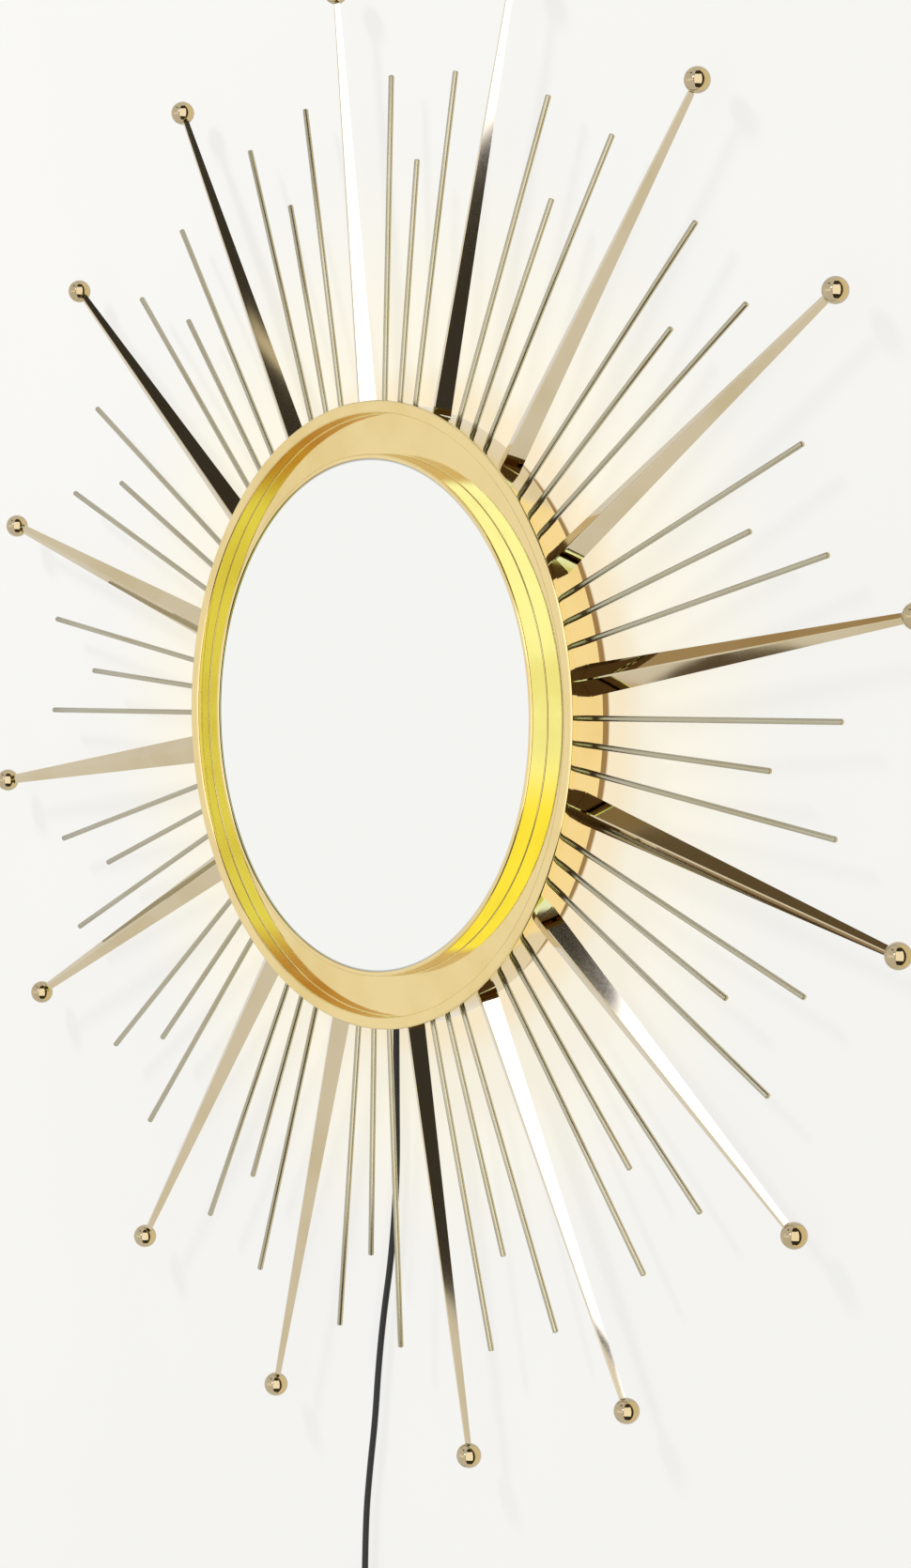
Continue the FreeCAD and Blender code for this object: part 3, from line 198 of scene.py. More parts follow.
def polishedBrass(name, colour, rough, wave=0.0, spun=False):
    look = brassLook
    finish = Finish(name, colour, rough, 1.0)
    cloudy = finish.noise(finish.spot, look["cloud"], look["cloudDetail"])
    fine = finish.noise(finish.spot, look["fine"])
    dull = tuple(part * shade for part, shade in zip(colour, look["dull"]))
    finish.feed("Base Color", finish.mix(finish.span(cloudy, *look["dullSpan"]), colour, dull))
    roughness = rough + cloudy * look["cloudRough"] + (fine - noiseMiddle) * look["fineRough"]
    if spun:                                              # fine turning lines round the axis
        sockets = {"W": finish.axisReach(finish.spot), "Scale": look["lines"], "Detail": 2.0}
        lines = finish.node("ShaderNodeTexNoise", {"noise_dimensions": "1D"}, sockets)
        roughness = roughness + (lines - noiseMiddle) * look["lineRough"]
        finish.bump(lines, look["lineDeep"])
    elif wave:                                            # sheet that was bent by hand is never quite flat
        finish.bump(finish.noise(finish.spot, look["waves"], look["waveDetail"]), wave)
    finish.feed("Roughness", roughness)
    return finish.material


def silveredGlass():
    look = glassLook
    finish = Finish("silveredGlass", look["colour"], look["rough"], 1.0)
    reach = finish.axisReach(finish.spot)
    wiped = finish.span(finish.noise(finish.spot, look["wiped"], look["wipedDetail"]), *look["wipedSpan"])
    finish.feed("Roughness", look["roughLow"] + wiped * look["roughMore"])
    edge = finish.span(reach, *look["edgeShadeSpan"])          # painted shade: a grey band stands in for the glass's own thickness, which shows beside the rim
    finish.feed("Base Color", finish.mix(edge, look["colour"], look["edge"]))
    return finish.material


def painted(name, colour, rough, speck=0.0003, grain=900, cloud=0.82):
    look = paintLook
    finish = Finish(name, colour, rough)
    cloudy = finish.span(finish.noise(finish.spot, look["cloud"], look["cloudDetail"]), *look["cloudSpan"])
    fine = finish.noise(finish.spot, grain)
    finish.feed("Base Color", finish.mix(cloudy, colour, shaded(colour, cloud)))
    finish.feed("Roughness", rough + (fine - noiseMiddle) * look["fineRough"])
    finish.bump(fine, speck, look["bump"])
    return finish.material


def platedSteel(name, colour, rough, grain):
    look = steelLook
    finish = Finish(name, colour, rough, 1.0)
    flakes = finish.node("ShaderNodeTexVoronoi", sockets={"Vector": finish.spot, "Scale": grain}, out=1)
    shade = finish.node("ShaderNodeSeparateColor", sockets={0: flakes})
    cloudy = finish.noise(finish.spot, look["cloud"], look["cloudDetail"])
    dull = shade * look["flakeShare"] + cloudy * look["cloudShare"]
    finish.feed("Base Color", finish.mix(dull, colour, shaded(colour, look["dull"])))
    roughness = rough + (shade - noiseMiddle) * look["flakeRough"]
    finish.feed("Roughness", roughness + (cloudy - noiseMiddle) * look["cloudRough"])
    finish.bump(finish.noise(finish.spot, look["dents"]), look["dentDeep"])
    return finish.material


def pressedBoard():
    look = boardLook
    finish = Finish("pressedBoard", look["colour"], look["rough"])
    fibre = finish.noise(finish.spot, look["fibre"], look["detail"], look["fibreRough"])
    finish.feed("Base Color", finish.mix(fibre, look["dark"], look["light"]))
    finish.feed("Roughness", look["roughLow"] + fibre * look["roughMore"])
    finish.bump(fibre, look["deep"], look["bump"])
    return finish.material


def lightChip():
    look = chipLook
    finish = Finish("warmChip", look["colour"], look["rough"])
    finish.feed("Emission Color", look["glow"])
    finish.feed("Emission Strength", look["glowing"])
    speck = finish.noise(finish.spot, look["speck"])
    finish.feed("Base Color", finish.mix(speck, look["pale"], look["deep"]))
    finish.feed("Emission Color", finish.mix(speck, look["paleGlow"], look["deepGlow"]))
    return finish.material


finishes = {
    "ring": polishedBrass("spunBrass", (0.87, 0.69, 0.34), 0.05, spun=True),
    "drum": polishedBrass("drumBrass", (0.87, 0.70, 0.40), 0.09, spun=True),
    "ray": polishedBrass("foldedBrass", (0.70, 0.595, 0.40), 0.03, wave=0.0001),
    # painted shade: the balls and rods are the same brass as the ring, made darker and greyer for the dark
    # reflections they show
    "ball": polishedBrass("ballBrassPaintedShade", (0.56, 0.46, 0.29), 0.06),
    "rod": polishedBrass("drawnBrassPaintedShade", (0.51, 0.47, 0.345), 0.24),
    "glass": silveredGlass(),
    "board": pressedBoard(),
    "zinc": platedSteel("zincPlate", (0.70, 0.71, 0.73), 0.34, 260),
    "pan": painted("panCoat", (0.80, 0.78, 0.735), 0.46, speck=0.00012, cloud=0.95),
    "prong": platedSteel("nickelPin", (0.76, 0.74, 0.70), 0.2, 500),
    "wire": painted("wireSheath", (0.55, 0.05, 0.04), 0.45),
    "tape": painted("stripWhite", (0.82, 0.80, 0.76), 0.5),
    "terminal": painted("terminalWhite", (0.75, 0.74, 0.70), 0.48),
    "rubber": painted("bushRubber", (0.022, 0.022, 0.022), 0.7),
    "lead": painted("leadSheath", (0.012, 0.012, 0.013), 0.42, speck=0.0001, grain=500),
    "switch": painted("switchBlack", (0.018, 0.018, 0.019), 0.4),
    "rocker": painted("rockerBlack", (0.022, 0.022, 0.024), 0.28),
    "tie": painted("tieBlack", (0.014, 0.014, 0.015), 0.6),
    "supply": painted("supplyBlack", (0.016, 0.016, 0.017), 0.46),
    "chip": lightChip(),
}
print("finishes:", len(finishes))


# A new piece: its mesh or curve, finish, the body that carries it and the solids that it stands for.
def piece(name, data, finish, nodes=(), body="mirror"):
    thing = placed(name, data)
    data.materials.clear()
    data.materials.append(finishes[finish])
    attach(thing, body)
    if nodes:
        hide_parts(*nodes)
    return thing


def smooth(mesh, angle):
    for face in mesh.polygons:
        face.use_smooth = True
    mesh.set_sharp_from_angle(angle=math.radians(angle))
    return mesh


def meshFrom(name, form):
    mesh = bpy.data.meshes.new(name)
    form.to_mesh(mesh)
    form.free()
    return mesh


def meshOf(name, corners, faces, sharp):
    form = bmesh.new()
    spots = [form.verts.new(tuple(part * mm for part in corner)) for corner in corners]
    for face in faces:
        form.faces.new([spots[n] for n in face])
    bmesh.ops.recalc_face_normals(form, faces=form.faces)
    return smooth(meshFrom(name, form), sharp)


def arc(middle, radius, start, end, steps):
    turns = [math.radians(start + (end - start) * n / steps) for n in range(steps + 1)]
    return [(middle[0] + radius * math.cos(turn), middle[1] + radius * math.sin(turn)) for turn in turns]


def circle(radius, count):
    turns = [2 * math.pi * n / count for n in range(count)]
    return [(radius * math.cos(turn), radius * math.sin(turn)) for turn in turns]


# A profile of (reach, depth) turned about the mirror's axis. It ends in poles at reach 0, or closes on itself.
def turnedPiece(name, profile, segments, sharp=30):
    corners, rings = [], []
    for reach, depth in profile:
        if reach == 0:
            rings.append([len(corners)] * segments)
            corners.append((0, depth, 0))
        else:
            rings.append(range(len(corners), len(corners) + segments))
            corners += [(x, depth, z) for x, z in circle(reach, segments)]
    faces = []
    following = rings[1:] if profile[0][0] == 0 else rings[1:] + rings[:1]
    for near, far in zip(rings, following):
        for n in range(segments):
            m = (n + 1) % segments
            faces.append(list(dict.fromkeys((near[n], near[m], far[m], far[n]))))
    return meshOf(name, corners, faces, sharp)


# Faces of a closed tube whose corners come in rings of one number.
def tubeFaces(total, around):
    faces = []
    for base in range(0, total - around, around):
        for n in range(around):
            m = (n + 1) % around
            faces.append((base + n, base + m, base + around + m, base + around + n))
    return faces + [tuple(range(around)), tuple(range(total - around, total))]


# A moulded case keeps its CAD form, with its sharp edges rounded: node, finish, rounding and body.
mouldedSet = {
    "switchBase": ("switch_base", "switch", 0.8, "mirror"),
    "switchCover": ("switch_cover", "switch", 1.0, "mirror"),
    "switchRocker": ("switch_rocker", "rocker", 0.4, "rocker"),
    "adapterBody": ("adapter_body", "supply", 0.7, "mirror"),
    "adapterCover": ("adapter_cover", "supply", 0.7, "mirror"),
}
edgeSet = {"weld": 1e-6, "flat": 1, "sharp": 35, "rounded": 50, "steps": 3}


def moulded(name, node, finish, rounding, body):
    form = bmesh.new()
    form.from_mesh(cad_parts[node].data)
    bmesh.ops.remove_doubles(form, verts=form.verts, dist=edgeSet["weld"])
    flat = math.radians(edgeSet["flat"])
    bmesh.ops.dissolve_limit(form, angle_limit=flat, verts=form.verts, edges=form.edges)
    thing = piece(name, smooth(meshFrom(name, form), edgeSet["sharp"]), finish, [node], body)
    edges = thing.modifiers.new("edges", "BEVEL")
    edges.width = rounding * mm
    edges.segments = edgeSet["steps"]
    edges.limit_method = "ANGLE"
    edges.angle_limit = math.radians(edgeSet["rounded"])
    edges.harden_normals = True
    return thing


cases = {name: moulded(name, *values) for name, values in mouldedSet.items()}
print("cases")


leadSet = {
    "thick": 3.5,
    "route": [(-8.5, -99), (-8.5, -150), (-7.2, -204), (-6, -246), (-9.8, -289), (-16.8, -324), (-20.9, -354),
              (-23.2, -382), (-27.4, -409), (-31, -440), (-31, -470)],
    "off": 3.5,
    "coilMiddle": (-58.15, -553), "coilReach": 27.15, "pitch": 4.1, "turns": 3, "layers": 4, "perTurn": 16,
    "outlet": -533, "end": -579,
    "roundSteps": 4, "curveSteps": 6, "order": 3,
}


def leadCurve(name, points):
    curve = bpy.data.curves.new(name, "CURVE")
    curve.dimensions = "3D"
    curve.bevel_depth = leadSet["thick"] / 2 * mm
    curve.bevel_resolution = leadSet["roundSteps"]
    curve.resolution_u = leadSet["curveSteps"]
    curve.use_fill_caps = True
    spline = curve.splines.new("NURBS")
    spline.points.add(len(points) - 1)
    for spot, point in zip(spline.points, points):
        spot.co = (*(part * mm for part in point), 1)
    spline.order_u = leadSet["order"]
    spline.use_endpoint_u = True
    return curve


# The coil winds in and out, and climbs to the next layer within half a turn.
def coilSpot(turn):
    into = turn % (2 * leadSet["turns"])
    reach = leadSet["coilReach"] - leadSet["pitch"] * min(into, 2 * leadSet["turns"] - into)
    climb = 0.0
    for change in range(1, leadSet["layers"]):
        part = min(max((turn - change * leadSet["turns"]) * 2 + 0.5, 0), 1)
        climb += part * part * (3 - 2 * part)
    x, z = leadSet["coilMiddle"]
    angle = -2 * math.pi * turn
    return x + reach * math.cos(angle), -leadSet["off"] - leadSet["pitch"] * climb, z + reach * math.sin(angle)


def makeLeads():
    off = -leadSet["off"]
    hanging = leadCurve("leadDown", [(x, off, z) for x, z in leadSet["route"]])
    run = piece("leadDown", hanging, "lead", ["cord_run"])
    x = leadSet["route"][-1][0]
    total = leadSet["turns"] * leadSet["layers"] * leadSet["perTurn"]
    turns = [coilSpot(n / leadSet["perTurn"]) for n in range(total + 1)]
    top = [(x, off, leadSet["outlet"]), (x, off, (leadSet["outlet"] + turns[0][2]) / 2)]
    low = [(x, turns[-1][1], (turns[-1][2] + leadSet["end"]) / 2), (x, turns[-1][1], leadSet["end"])]
    coil = piece("leadCoil", leadCurve("leadCoil", top + turns + low), "lead", ["cord_coil"])


makeLeads()
print("leads")

ringSet = {"lip": -30, "floor": -22, "crest": -32.4, "view": 134.6, "mount": 137, "hoop": 158.5, "reach": 165,
           "sheet": 1, "skirt": 4, "edge": 0.5, "fillet": 0.4, "round": 0.9, "flat": 0.25, "chamfer": 0.2,
           "around": 320, "sharp": 24}
glassSet = {"front": -31.4, "thick": 4, "reach": 135.7, "arris": 0.6, "around": 256}
drumSet = {"front": -29, "back": -7, "reach": 162.6, "wall": 3, "flange": 8.5, "flangeThick": 2, "round": 1.2,
           "around": 320}


# Raised mount of the glass, channel, lip and turned-back skirt, from the glass outwards.
def spunRing():
    s = ringSet
    lip, floor, crest = (s[key] for key in ("lip", "floor", "crest"))
    edge, fillet, turn = (s[key] for key in ("edge", "fillet", "round"))
    view, mount, hoop, reach = (s[key] for key in ("view", "mount", "hoop", "reach"))
    sheet, flat, cut = s["sheet"], s["flat"], s["chamfer"]
    hem = lip + s["skirt"]
    profile = [(view, crest + sheet)]
    profile += arc((view + edge, crest + edge), edge, 180, 270, 4)
    profile += arc((mount - turn, crest + turn), turn, 270, 360, 6)
    profile += [(mount, crest + turn + flat), (mount, floor - fillet - flat)]
    profile += arc((mount + fillet, floor - fillet), fillet, 180, 90, 8)
    profile += [(mount + fillet + flat, floor), (hoop - fillet - flat, floor)]
    profile += arc((hoop - fillet, floor - fillet), fillet, 90, 0, 8)
    profile += [(hoop, floor - fillet - flat), (hoop, lip + turn + flat)]
    profile += arc((hoop + turn, lip + turn), turn, 180, 270, 6)
    profile += [(hoop + turn + flat, lip), (reach - turn - flat, lip)]
    profile += arc((reach - turn, lip + turn), turn, 270, 360, 6)
    profile += [(reach, hem - cut), (reach - cut, hem), (reach - sheet + cut, hem), (reach - sheet, hem - cut)]
    profile += [(reach - sheet, lip + sheet), (hoop + sheet, lip + sheet), (hoop + sheet, floor + sheet),
                (mount - sheet, floor + sheet), (mount - sheet, crest + sheet)]
    mesh = turnedPiece("spunRing", profile, s["around"], s["sharp"])
    piece("spunRing", mesh, "ring", ["front_ring"])


def roundGlass():
    s = glassSet
    front, back, arris, reach = s["front"], s["front"] + s["thick"], s["arris"], s["reach"]
    profile = [(0, front), (reach - arris, front), (reach, front + arris), (reach, back - arris),
               (reach - arris, back), (0, back)]
    piece("roundGlass", turnedPiece("roundGlass", profile, s["around"]), "glass", ["mirror_glass"])


def polishedDrum():
    s = drumSet
    reach, front, back, turn = s["reach"], s["front"], s["back"], s["round"]
    inner = reach - s["wall"]
    profile = [(reach, front)] + arc((reach - turn, back - turn), turn, 0, 90, 6)
    profile += [(inner - s["flange"], back), (inner - s["flange"], back - s["flangeThick"]),
                (inner, back - s["flangeThick"]), (inner, front)]
    piece("polishedDrum", turnedPiece("polishedDrum", profile, s["around"]), "drum", ["drum_ring"])


spunRing()
roundGlass()
polishedDrum()
print("ring, glass and drum")

raySet = {
    "count": 16, "first": 8.25, "root": 162.7, "tip": 381.4, "rootWidth": 16.4, "tipWidth": 5.2,
    "rootHeight": 5.7, "sheet": 0.8, "off": -18, "setBack": 3, "ridge": 1.0, "ridgeEnd": 0.35,
    "ridgeTaper": 0.65, "steps": 24, "sharp": 33,
    "aside": (0.0085, 0.0248, -0.0007, 0.0065, 0.0021, 0.0061, -0.0176, -0.0122,
              -0.0040, -0.0553, 0.0024, -0.0126, 0.0403, -0.0106, 0.0030, 0.0030),
}
ballSet = {"circle": 388, "reach": 6.5, "off": -14.1, "around": 40, "along": 20}


# Section of the folded sheet: its outside over the rounded ridge, then its inside.
def foldCorners(along):
    s = raySet
    half = (s["rootWidth"] + (s["tipWidth"] - s["rootWidth"]) * along) / 2
    shrink = 2 * half / s["rootWidth"]
    tall = s["rootHeight"] * shrink / 2
    slope = math.atan2(2 * tall, half)
    wall = s["sheet"] / math.cos(slope)
    bend = s["ridge"] * (s["ridgeEnd"] + s["ridgeTaper"] * shrink)
    heart = -tall + bend / math.cos(slope)                # middle of the bend's curve
    turns = [slope * n / 2 for n in range(-2, 3)]
    outer = [(heart - bend * math.cos(turn), bend * math.sin(turn)) for turn in turns]
    inner = half * (1 - wall / (2 * tall))
    return [(tall, -half)] + outer + [(tall, half), (tall, inner), (wall - tall, 0), (tall, -inner)]


def roundAxis(reach, side, angle):
    return reach * math.cos(angle) - side * math.sin(angle), reach * math.sin(angle) + side * math.cos(angle)


def foldedRay(number):
    s = raySet
    angle = math.radians(s["first"] + number * 360 / s["count"])
    aside = s["aside"][number] * ballSet["circle"]
    corners = []
    for step in range(s["steps"] + 1):
        along = step / s["steps"]
        reach = s["root"] + (s["tip"] - s["root"]) * along
        for deep, side in foldCorners(along):
            x, z = roundAxis(reach, side + aside * along, angle)
            corners.append((x, s["off"] + deep + s["setBack"] * along, z))
    faces = tubeFaces(len(corners), len(corners) // (s["steps"] + 1))
    name = f"foldedRay{number + 1:02d}"
    ray = piece(name, meshOf(name, corners, faces, s["sharp"]), "ray", [f"ray_{number + 1:02d}"])
    ray.modifiers.new("flatFolds", "WEIGHTED_NORMAL").keep_sharp = True
    tipBall(number, *roundAxis(ballSet["circle"], aside, angle))


def tipBall(number, x, z):
    s = ballSet
    globe = bmesh.new()
    bmesh.ops.create_uvsphere(globe, u_segments=s["around"], v_segments=s["along"], radius=s["reach"] * mm)
    bmesh.ops.translate(globe, verts=globe.verts, vec=Vector((x, s["off"], z)) * mm)
    ball = smooth(meshFrom("ball", globe), 180)
    piece(f"tipBall{number + 1:02d}", ball, "ball", [f"ball_{number + 1:02d}"])


for number in range(raySet["count"]):
    foldedRay(number)
print("rays and balls")


# Geometry Nodes: one part, drawn on the X axis, set round the mirror's axis.
def setRoundTree():
    tree = bpy.data.node_groups.new("setRound", "GeometryNodeTree")
    for title, way, kind in (("Part", "INPUT", "Geometry"), ("Count", "INPUT", "Int"),
                             ("First Angle", "INPUT", "Float"), ("Step Angle", "INPUT", "Float"),
                             ("Finish", "INPUT", "Material"), ("Geometry", "OUTPUT", "Geometry")):
        tree.interface.new_socket(title, in_out=way, socket_type=f"NodeSocket{kind}")
    new = tree.nodes.new
    start, end = new("NodeGroupInput"), new("NodeGroupOutput")
    points, index = new("GeometryNodePoints"), new("GeometryNodeInputIndex")
    turn, degrees, around = new("ShaderNodeMath"), new("ShaderNodeMath"), new("ShaderNodeCombineXYZ")
    way, put = new("FunctionNodeEulerToRotation"), new("GeometryNodeInstanceOnPoints")
    real, dress = new("GeometryNodeRealizeInstances"), new("GeometryNodeSetMaterial")
    turn.operation = "MULTIPLY_ADD"
    degrees.operation = "MULTIPLY"
    degrees.inputs[1].default_value = -math.pi / 180
    for outlet, inlet in (
        (start.outputs["Count"], points.inputs["Count"]),
        (index.outputs[0], turn.inputs[0]),
        (start.outputs["Step Angle"], turn.inputs[1]),
        (start.outputs["First Angle"], turn.inputs[2]),
        (turn.outputs[0], degrees.inputs[0]),
        (degrees.outputs[0], around.inputs["Y"]),
        (around.outputs[0], way.inputs[0]),
        (points.outputs[0], put.inputs["Points"]),
        (start.outputs["Part"], put.inputs["Instance"]),
        (way.outputs[0], put.inputs["Rotation"]),
        (put.outputs[0], real.inputs[0]),
        (real.outputs[0], dress.inputs["Geometry"]),
        (start.outputs["Finish"], dress.inputs["Material"]),
        (dress.outputs[0], end.inputs[0]),
    ):
        tree.links.new(outlet, inlet)
    return tree


setRound = setRoundTree()
barSet = {"sides": 14, "sharp": 32}


def shownMesh(thing):
    return bpy.data.meshes.new_from_object(thing.evaluated_get(bpy.context.evaluated_depsgraph_get()))


def repeated(name, part, finish, rows):
    form = bmesh.new()
    for count, first, step in rows:
        thing = placed(name, part)
        modifier = thing.modifiers.new("setRound", "NODES")
        modifier.node_group = setRound
        values = {"Count": count, "First Angle": float(first), "Step Angle": float(step),
                  "Finish": finishes[finish]}
        for item in setRound.interface.items_tree:
            if item.in_out == "INPUT" and item.name in values:
                modifier[item.identifier] = values[item.name]
        form.from_mesh(shownMesh(thing))
        bpy.data.objects.remove(thing)
    return smooth(meshFrom(name, form), barSet["sharp"])


# A round bar on the X axis, from a list of (reach, radius).
def barMesh(name, stations):
    sides = barSet["sides"]
    corners = [(reach, y, z) for reach, radius in stations for y, z in circle(radius, sides)]
    return meshOf(name, corners, tubeFaces(len(corners), sides), barSet["sharp"])


rodSet = {"count": 16, "first": 19.5, "spread": 4.65, "lean": 2, "drum": 162.6, "off": -18, "root": 157.6,
          "long": 336, "short": 290.5, "radius": 1.5, "dome": 0.45, "domeTurns": (0, 0.45, 0.85, 1.2, 1.5)}


def leaningRods(name, reach, node, starts):
    s = rodSet
    radius, lean = s["radius"], math.radians(s["lean"])
    end = s["drum"] + (reach - s["drum"]) / math.cos(lean)
    tip = [(end - radius * s["dome"] * (1 - math.sin(t)), radius * math.cos(t)) for t in s["domeTurns"]]
    part = barMesh(name, [(s["root"], radius), ((s["root"] + end) / 2, radius)] + tip)
    there = Matrix.Translation((s["drum"] * mm, s["off"] * mm, 0))
    part.transform(there @ Matrix.Rotation(lean, 4, "Z") @ Matrix.Translation((-s["drum"] * mm, 0, 0)))
    rows = [(s["count"], start, 360 / s["count"]) for start in starts]
    piece(name, repeated(name, part, "rod", rows), "rod", [node])


rodSides = [rodSet["first"] - rodSet["spread"], rodSet["first"] + rodSet["spread"]]
leaningRods("longRods", rodSet["long"], "long_rods", rodSides)
leaningRods("shortRods", rodSet["short"], "short_rods", [rodSet["first"]])
print("rods")

screwSet = {"count": 8, "first": 19.5, "circle": 155.35, "head": 2.7, "headTall": 1.6, "shank": 1.5,
            "round": 0.7, "domeFall": 0.08, "rimFall": 0.12, "chamfer": 0.3, "around": 28,
            "slotLong": 3.2, "slotWide": 0.8, "slotDeep": 0.9}


# Round-headed screws with a cross cut in the head, which faces the wall.
def crossHeadScrews(name, node):
    s = screwSet
    low, high = (corner[1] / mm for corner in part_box(node))
    head, shank, seat, bend, cut = s["head"], s["shank"], high - s["headTall"], s["round"], s["chamfer"]
    profile = [(0, high), (head * 0.5, high - s["domeFall"])]
    profile += arc((head - bend, high - s["rimFall"] - bend), bend, 90, 0, 4)
    profile += [(head, seat), (shank, seat), (shank, low + cut), (shank - cut, low), (0, low)]
    cutter = bmesh.new()
    size = Matrix.Diagonal((s["slotLong"] * mm, 2 * s["slotDeep"] * mm, s["slotWide"] * mm, 1))
    for angle in (0, 90):
        turn = Matrix.Rotation(math.radians(angle), 4, "Y")
        bmesh.ops.create_cube(cutter, size=1, matrix=Matrix.Translation((0, high * mm, 0)) @ turn @ size)
    blank = placed("screwBlank", turnedPiece("screwBlank", profile, s["around"]))
    cross = placed("crossCut", meshFrom("crossCut", cutter))
    slots = blank.modifiers.new("cross", "BOOLEAN")
    slots.object, slots.use_self = cross, True
    part = shownMesh(blank)
    for thing in (blank, cross):
        bpy.data.objects.remove(thing)
    part.transform(Matrix.Translation((s["circle"] * mm, 0, 0)))
    rows = [(s["count"], s["first"], 360 / s["count"])]
    piece(name, repeated(name, part, "zinc", rows), "zinc", [node])


crossHeadScrews("panScrews", "pan_screws")
print("screws")

# Solids that stay as they are, with their finish.
stay = {
    "backing_board": "board", "board_clips": "zinc", "clip_screws": "zinc", "ray_nuts": "zinc",
    "back_pan": "pan", "led_tape": "tape", "led_chips": "chip", "led_leads": "wire",
    "terminal_block": "terminal", "cord_clamp": "terminal", "inner_screws": "zinc", "cord_bush": "rubber",
    "switch_screws": "zinc", "cord_ties": "tie", "adapter_pins": "prong",
}
for node, finish in stay.items():
    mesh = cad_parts[node].data
    mesh.materials.clear()
    mesh.materials.append(finishes[finish])

# Painted glow on the wall: reach where it starts and is full, share and colour. The last is a painted shadow,
# dark brown where the wall is seen through the drum's gap.
wallSet = {
    "wide": 16, "tall": 16, "behind": 0.0004, "floor": -1.1,
    "colour": (0.905, 0.900, 0.872), "mottle": 3, "mottleDetail": 3, "mottleSpan": (0.3, 0.7),
    "mottleShade": 0.985, "own": 0.86, "dimmed": 0.82,
    "glow": [
        (0.31, 0.17, 0.8, (1.0, 0.935, 0.75)),
        (0.19, 0.166, 0.55, (0.99, 0.80, 0.50)),
        (0.1588, 0.1568, 1.0, (0.36, 0.21, 0.07)),
    ],
}


def stageSheet(name, corners, material):
    mesh = bpy.data.meshes.new(name)
    mesh.from_pydata(corners, [], [tuple(range(len(corners)))])
    mesh.materials.append(material)
    thing = placed(name, mesh)
    thing.visible_diffuse = False
    thing.visible_glossy = False
    thing.visible_transmission = False
    thing.visible_shadow = False


# Wall paint: pale by itself, a little darker in shadow, clear from behind, with a painted warm glow near the
# light gap and a painted shadow in the drum's gap.
def wallPaint(name, glow):
    s = wallSet
    material = bpy.data.materials.new(name)
    material.use_nodes = True
    tree = material.node_tree
    tree.nodes.clear()
    nodes = Nodes(tree)
    spot = nodes.spotOf()
    reach = nodes.axisReach(spot)
    mottle = nodes.span(nodes.noise(spot, s["mottle"], s["mottleDetail"]), *s["mottleSpan"])
    colour = nodes.mix(mottle, s["colour"], shaded(s["colour"], s["mottleShade"]))
    # painted glow round the mirror, and painted shadow where the drum's gap shows the wall
    for start, full, share, shade in glow:
        colour = nodes.mix(nodes.span(reach, start, full) * share, colour, shade)
    own = nodes.node("ShaderNodeEmission", sockets={"Color": colour, "Strength": s["own"]})
    lit = nodes.node("ShaderNodeBsdfDiffuse", sockets={"Color": nodes.mix(s["dimmed"], colour, (0, 0, 0))})
    both = nodes.node("ShaderNodeAddShader", sockets={0: own, 1: lit})
    clear = nodes.node("ShaderNodeBsdfTransparent")
    back = nodes.node("ShaderNodeNewGeometry", out=6)
    shown = nodes.node("ShaderNodeMixShader", sockets={0: back, 1: both, 2: clear})
    end = tree.nodes.new("ShaderNodeOutputMaterial")
    tree.links.new(shown.link, end.inputs[0])
    return material


def makeStage():
    wide, top, back, low = wallSet["wide"] / 2, wallSet["tall"] / 2, wallSet["behind"], wallSet["floor"]
    near = back - 2 * wide
    wall = [(-wide, back, low), (wide, back, low), (wide, back, top), (-wide, back, top)]
    floor = [(-wide, near, low), (wide, near, low), (wide, back, low), (-wide, back, low)]
    stageSheet("wall", wall, wallPaint("wallPaint", wallSet["glow"]))
    stageSheet("floor", floor, wallPaint("floorPaint", []))


lampSet = {"spot": (-1.83, -1.71, 2.44), "aim": (0, 0, 0), "wide": 0.55, "power": 80}


def areaLamp(name, spot, aim, wide, power):
    data = bpy.data.lights.new(name, "AREA")
    data.size = wide
    data.energy = power
    lamp = placed(name, data)
    lamp.location = spot
    lamp.rotation_euler = (Vector(aim) - Vector(spot)).to_track_quat("-Z", "Y").to_euler()
    lamp.visible_glossy = False


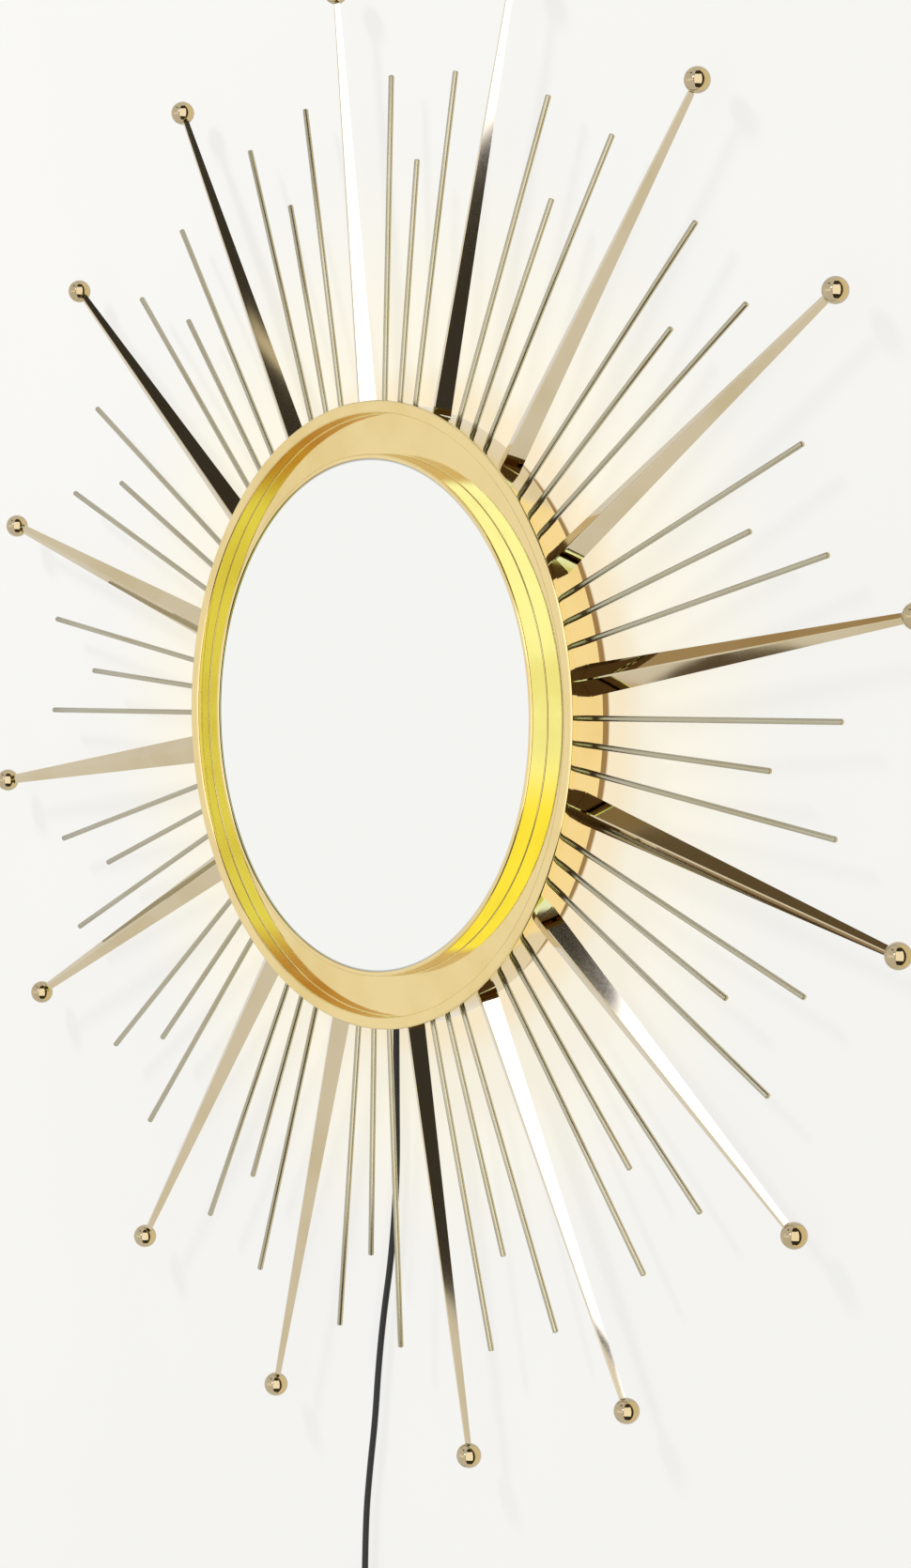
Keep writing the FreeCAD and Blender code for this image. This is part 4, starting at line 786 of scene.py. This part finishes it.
# What polished brass mirrors: a pale room with dark and bright places, each (azimuth, elevation) in degrees
# from straight in front of the mirror, with its colour. A later place lies over an earlier one.
darkPlace = (0.05, 0.045, 0.04)
windowPlace = (2.3, 2.5, 3.4)
roomSet = {
    "pale": (0.86, 0.86, 0.86), "warmSide": (1.08, 0.985, 0.71), "warmSpan": (84, 100),
    "edge": 0.14, "channelEdge": 0.4,
    # What is seen after two reflections: lemon and gold light out of the channel, dim elsewhere on the right.
    "secondTime": (1.4, 1.6), "thirdTimeFrom": (2.4, 2.6), "rightSpan": (-40, -34),
    "channelAngle": (47.0, 56.9), "channelSide": (52.2, 53.6), "endsSpan": (-0.15, -0.55), "tailSpan": (8, -32),
    "channelNear": (1.35, 2.0, 2.8), "channelEnds": (1.35, 1.68, 0.42),
    "channelFar": (1.02, 1.34, 0.57), "channelTail": (0.66, 0.44, 0.18),
    "dim": (0.10, 0.07, 0.04), "thirdTime": (1.30, 2.05, 2.6),
    # What lights the dull surfaces, and what the camera sees beyond the wall.
    "light": (1, 0.99, 0.97), "lightStrength": 0.62, "backdrop": (0.905, 0.9, 0.88),
    "places": [
        # the dim surround and the bright middle that the balls show
        ((20, 112), (-72, 76), (0.06, 0.05, 0.04)),
        ((22, 90), (-34, 42), (1.6, 1.57, 1.5)),
        # the brighter level that the upright rods show, and the pale wall that the glass shows
        ((-42, 13), (-9, 6), (1.2, 1.2, 1.2)),
        ((-60, -44), (-15, 11), (0.95, 0.95, 0.93)),
        # what the upright rays show, above and below
        ((5, 18.5), (12.3, 26), windowPlace),
        ((14, 20), (-14, -6.2), darkPlace),
        ((14, 20), (-6.2, -3.4), windowPlace),
        ((14, 20), (-3.4, 0.1), (0.86, 0.86, 0.86)),
        ((14, 20), (0.1, 7), darkPlace),
        ((11.5, 13.75), (17.2, 17.75), (0.08, 0.07, 0.06)),
        ((11.5, 13.75), (15, 17.2), (0.95, 0.93, 0.9)),
        # what the slanting rays show
        ((-4.5, 3.5), (32, 40.5), darkPlace),
        ((-1.2, 0.7), (35.6, 36.1), (0.8, 0.75, 0.6)),
        ((-34, -11.35), (39.9, 50), darkPlace),
        ((-11.35, -5.2), (37, 43), windowPlace),
        # what the rays on the right show
        ((-47.6, -40), (42, 47), (0.14, 0.105, 0.06)),
        ((-52, -47.6), (42, 47), (0.29, 0.21, 0.10)),
        ((-65, -61.8), (-46, -43), (0.62, 0.40, 0.22)),
        ((-61.4, -59.2), (-49, -45.4), (0.10, 0.07, 0.04)),
        ((-84, -74), (28, 37.5), (0.47, 0.35, 0.20)),
        ((-93, -86), (-38, -28), (0.40, 0.31, 0.21)),
    ],
}


def channelLight(nodes, s, azimuth, tilt, z, right):
    near = nodes.mix(nodes.span(z, *s["endsSpan"]), s["channelNear"], s["channelEnds"])
    near = nodes.mix(right, s["pale"], near)
    far = nodes.mix(nodes.span(azimuth, *s["tailSpan"]), s["channelFar"], s["channelTail"])
    return nodes.mix(nodes.span(tilt, *s["channelSide"]), near, far)


def setWorld():
    s = roomSet
    world = bpy.data.worlds.new("paleRoom")
    bpy.context.scene.world = world
    world.use_nodes = True
    tree = world.node_tree
    tree.nodes.clear()
    nodes = Nodes(tree)
    outs = nodes.node("ShaderNodeLightPath").link.node.outputs
    seen, gloss, depth = (Sock(tree, outs[key]) for key in ("Is Camera Ray", "Is Glossy Ray", "Glossy Depth"))
    x, y, z = nodes.parts(nodes.node("ShaderNodeTexCoord"))
    ahead, toDegrees = y * -1.0, 180 / math.pi
    azimuth = nodes.node("ShaderNodeMath", {"operation": "ARCTAN2"}, {0: x, 1: ahead}) * toDegrees
    elevation = nodes.node("ShaderNodeMath", {"operation": "ARCSINE"}, {0: z}) * toDegrees
    tilt = nodes.node("ShaderNodeMath", {"operation": "ARCCOSINE"}, {0: ahead}) * toDegrees
    once = nodes.mix(nodes.span(azimuth, *s["warmSpan"]), s["pale"], s["warmSide"])
    for across, tall, shade in s["places"]:
        place = nodes.inside(azimuth, *across, s["edge"]) * nodes.inside(elevation, *tall, s["edge"])
        once = nodes.mix(place, once, shade)
    right = nodes.span(azimuth, *s["rightSpan"])
    beside = nodes.mix(right, s["pale"], s["dim"])
    channel = channelLight(nodes, s, azimuth, tilt, z, right)
    twice = nodes.mix(nodes.inside(tilt, *s["channelAngle"], s["channelEdge"]), beside, channel)
    thrice = nodes.mix(right, s["thirdTime"], s["dim"])
    again = nodes.mix(nodes.span(depth, *s["thirdTimeFrom"]), twice, thrice)
    colour = nodes.mix(nodes.span(depth, *s["secondTime"]), once, again)
    soft = nodes.node("ShaderNodeBackground", sockets={"Color": s["light"], "Strength": s["lightStrength"]})
    pale = nodes.node("ShaderNodeBackground", sockets={"Color": s["backdrop"], "Strength": 1.0})
    room = nodes.node("ShaderNodeBackground", sockets={"Color": colour, "Strength": 1.0})
    first = nodes.node("ShaderNodeMixShader", sockets={0: gloss, 1: soft, 2: room})
    second = nodes.node("ShaderNodeMixShader", sockets={0: seen, 1: first, 2: pale})
    end = tree.nodes.new("ShaderNodeOutputWorld")
    tree.links.new(second.link, end.inputs[0])


makeStage()
areaLamp("keyLamp", **lampSet)
setWorld()
bpy.context.scene.view_settings.view_transform = "Standard"
print("stage and light")
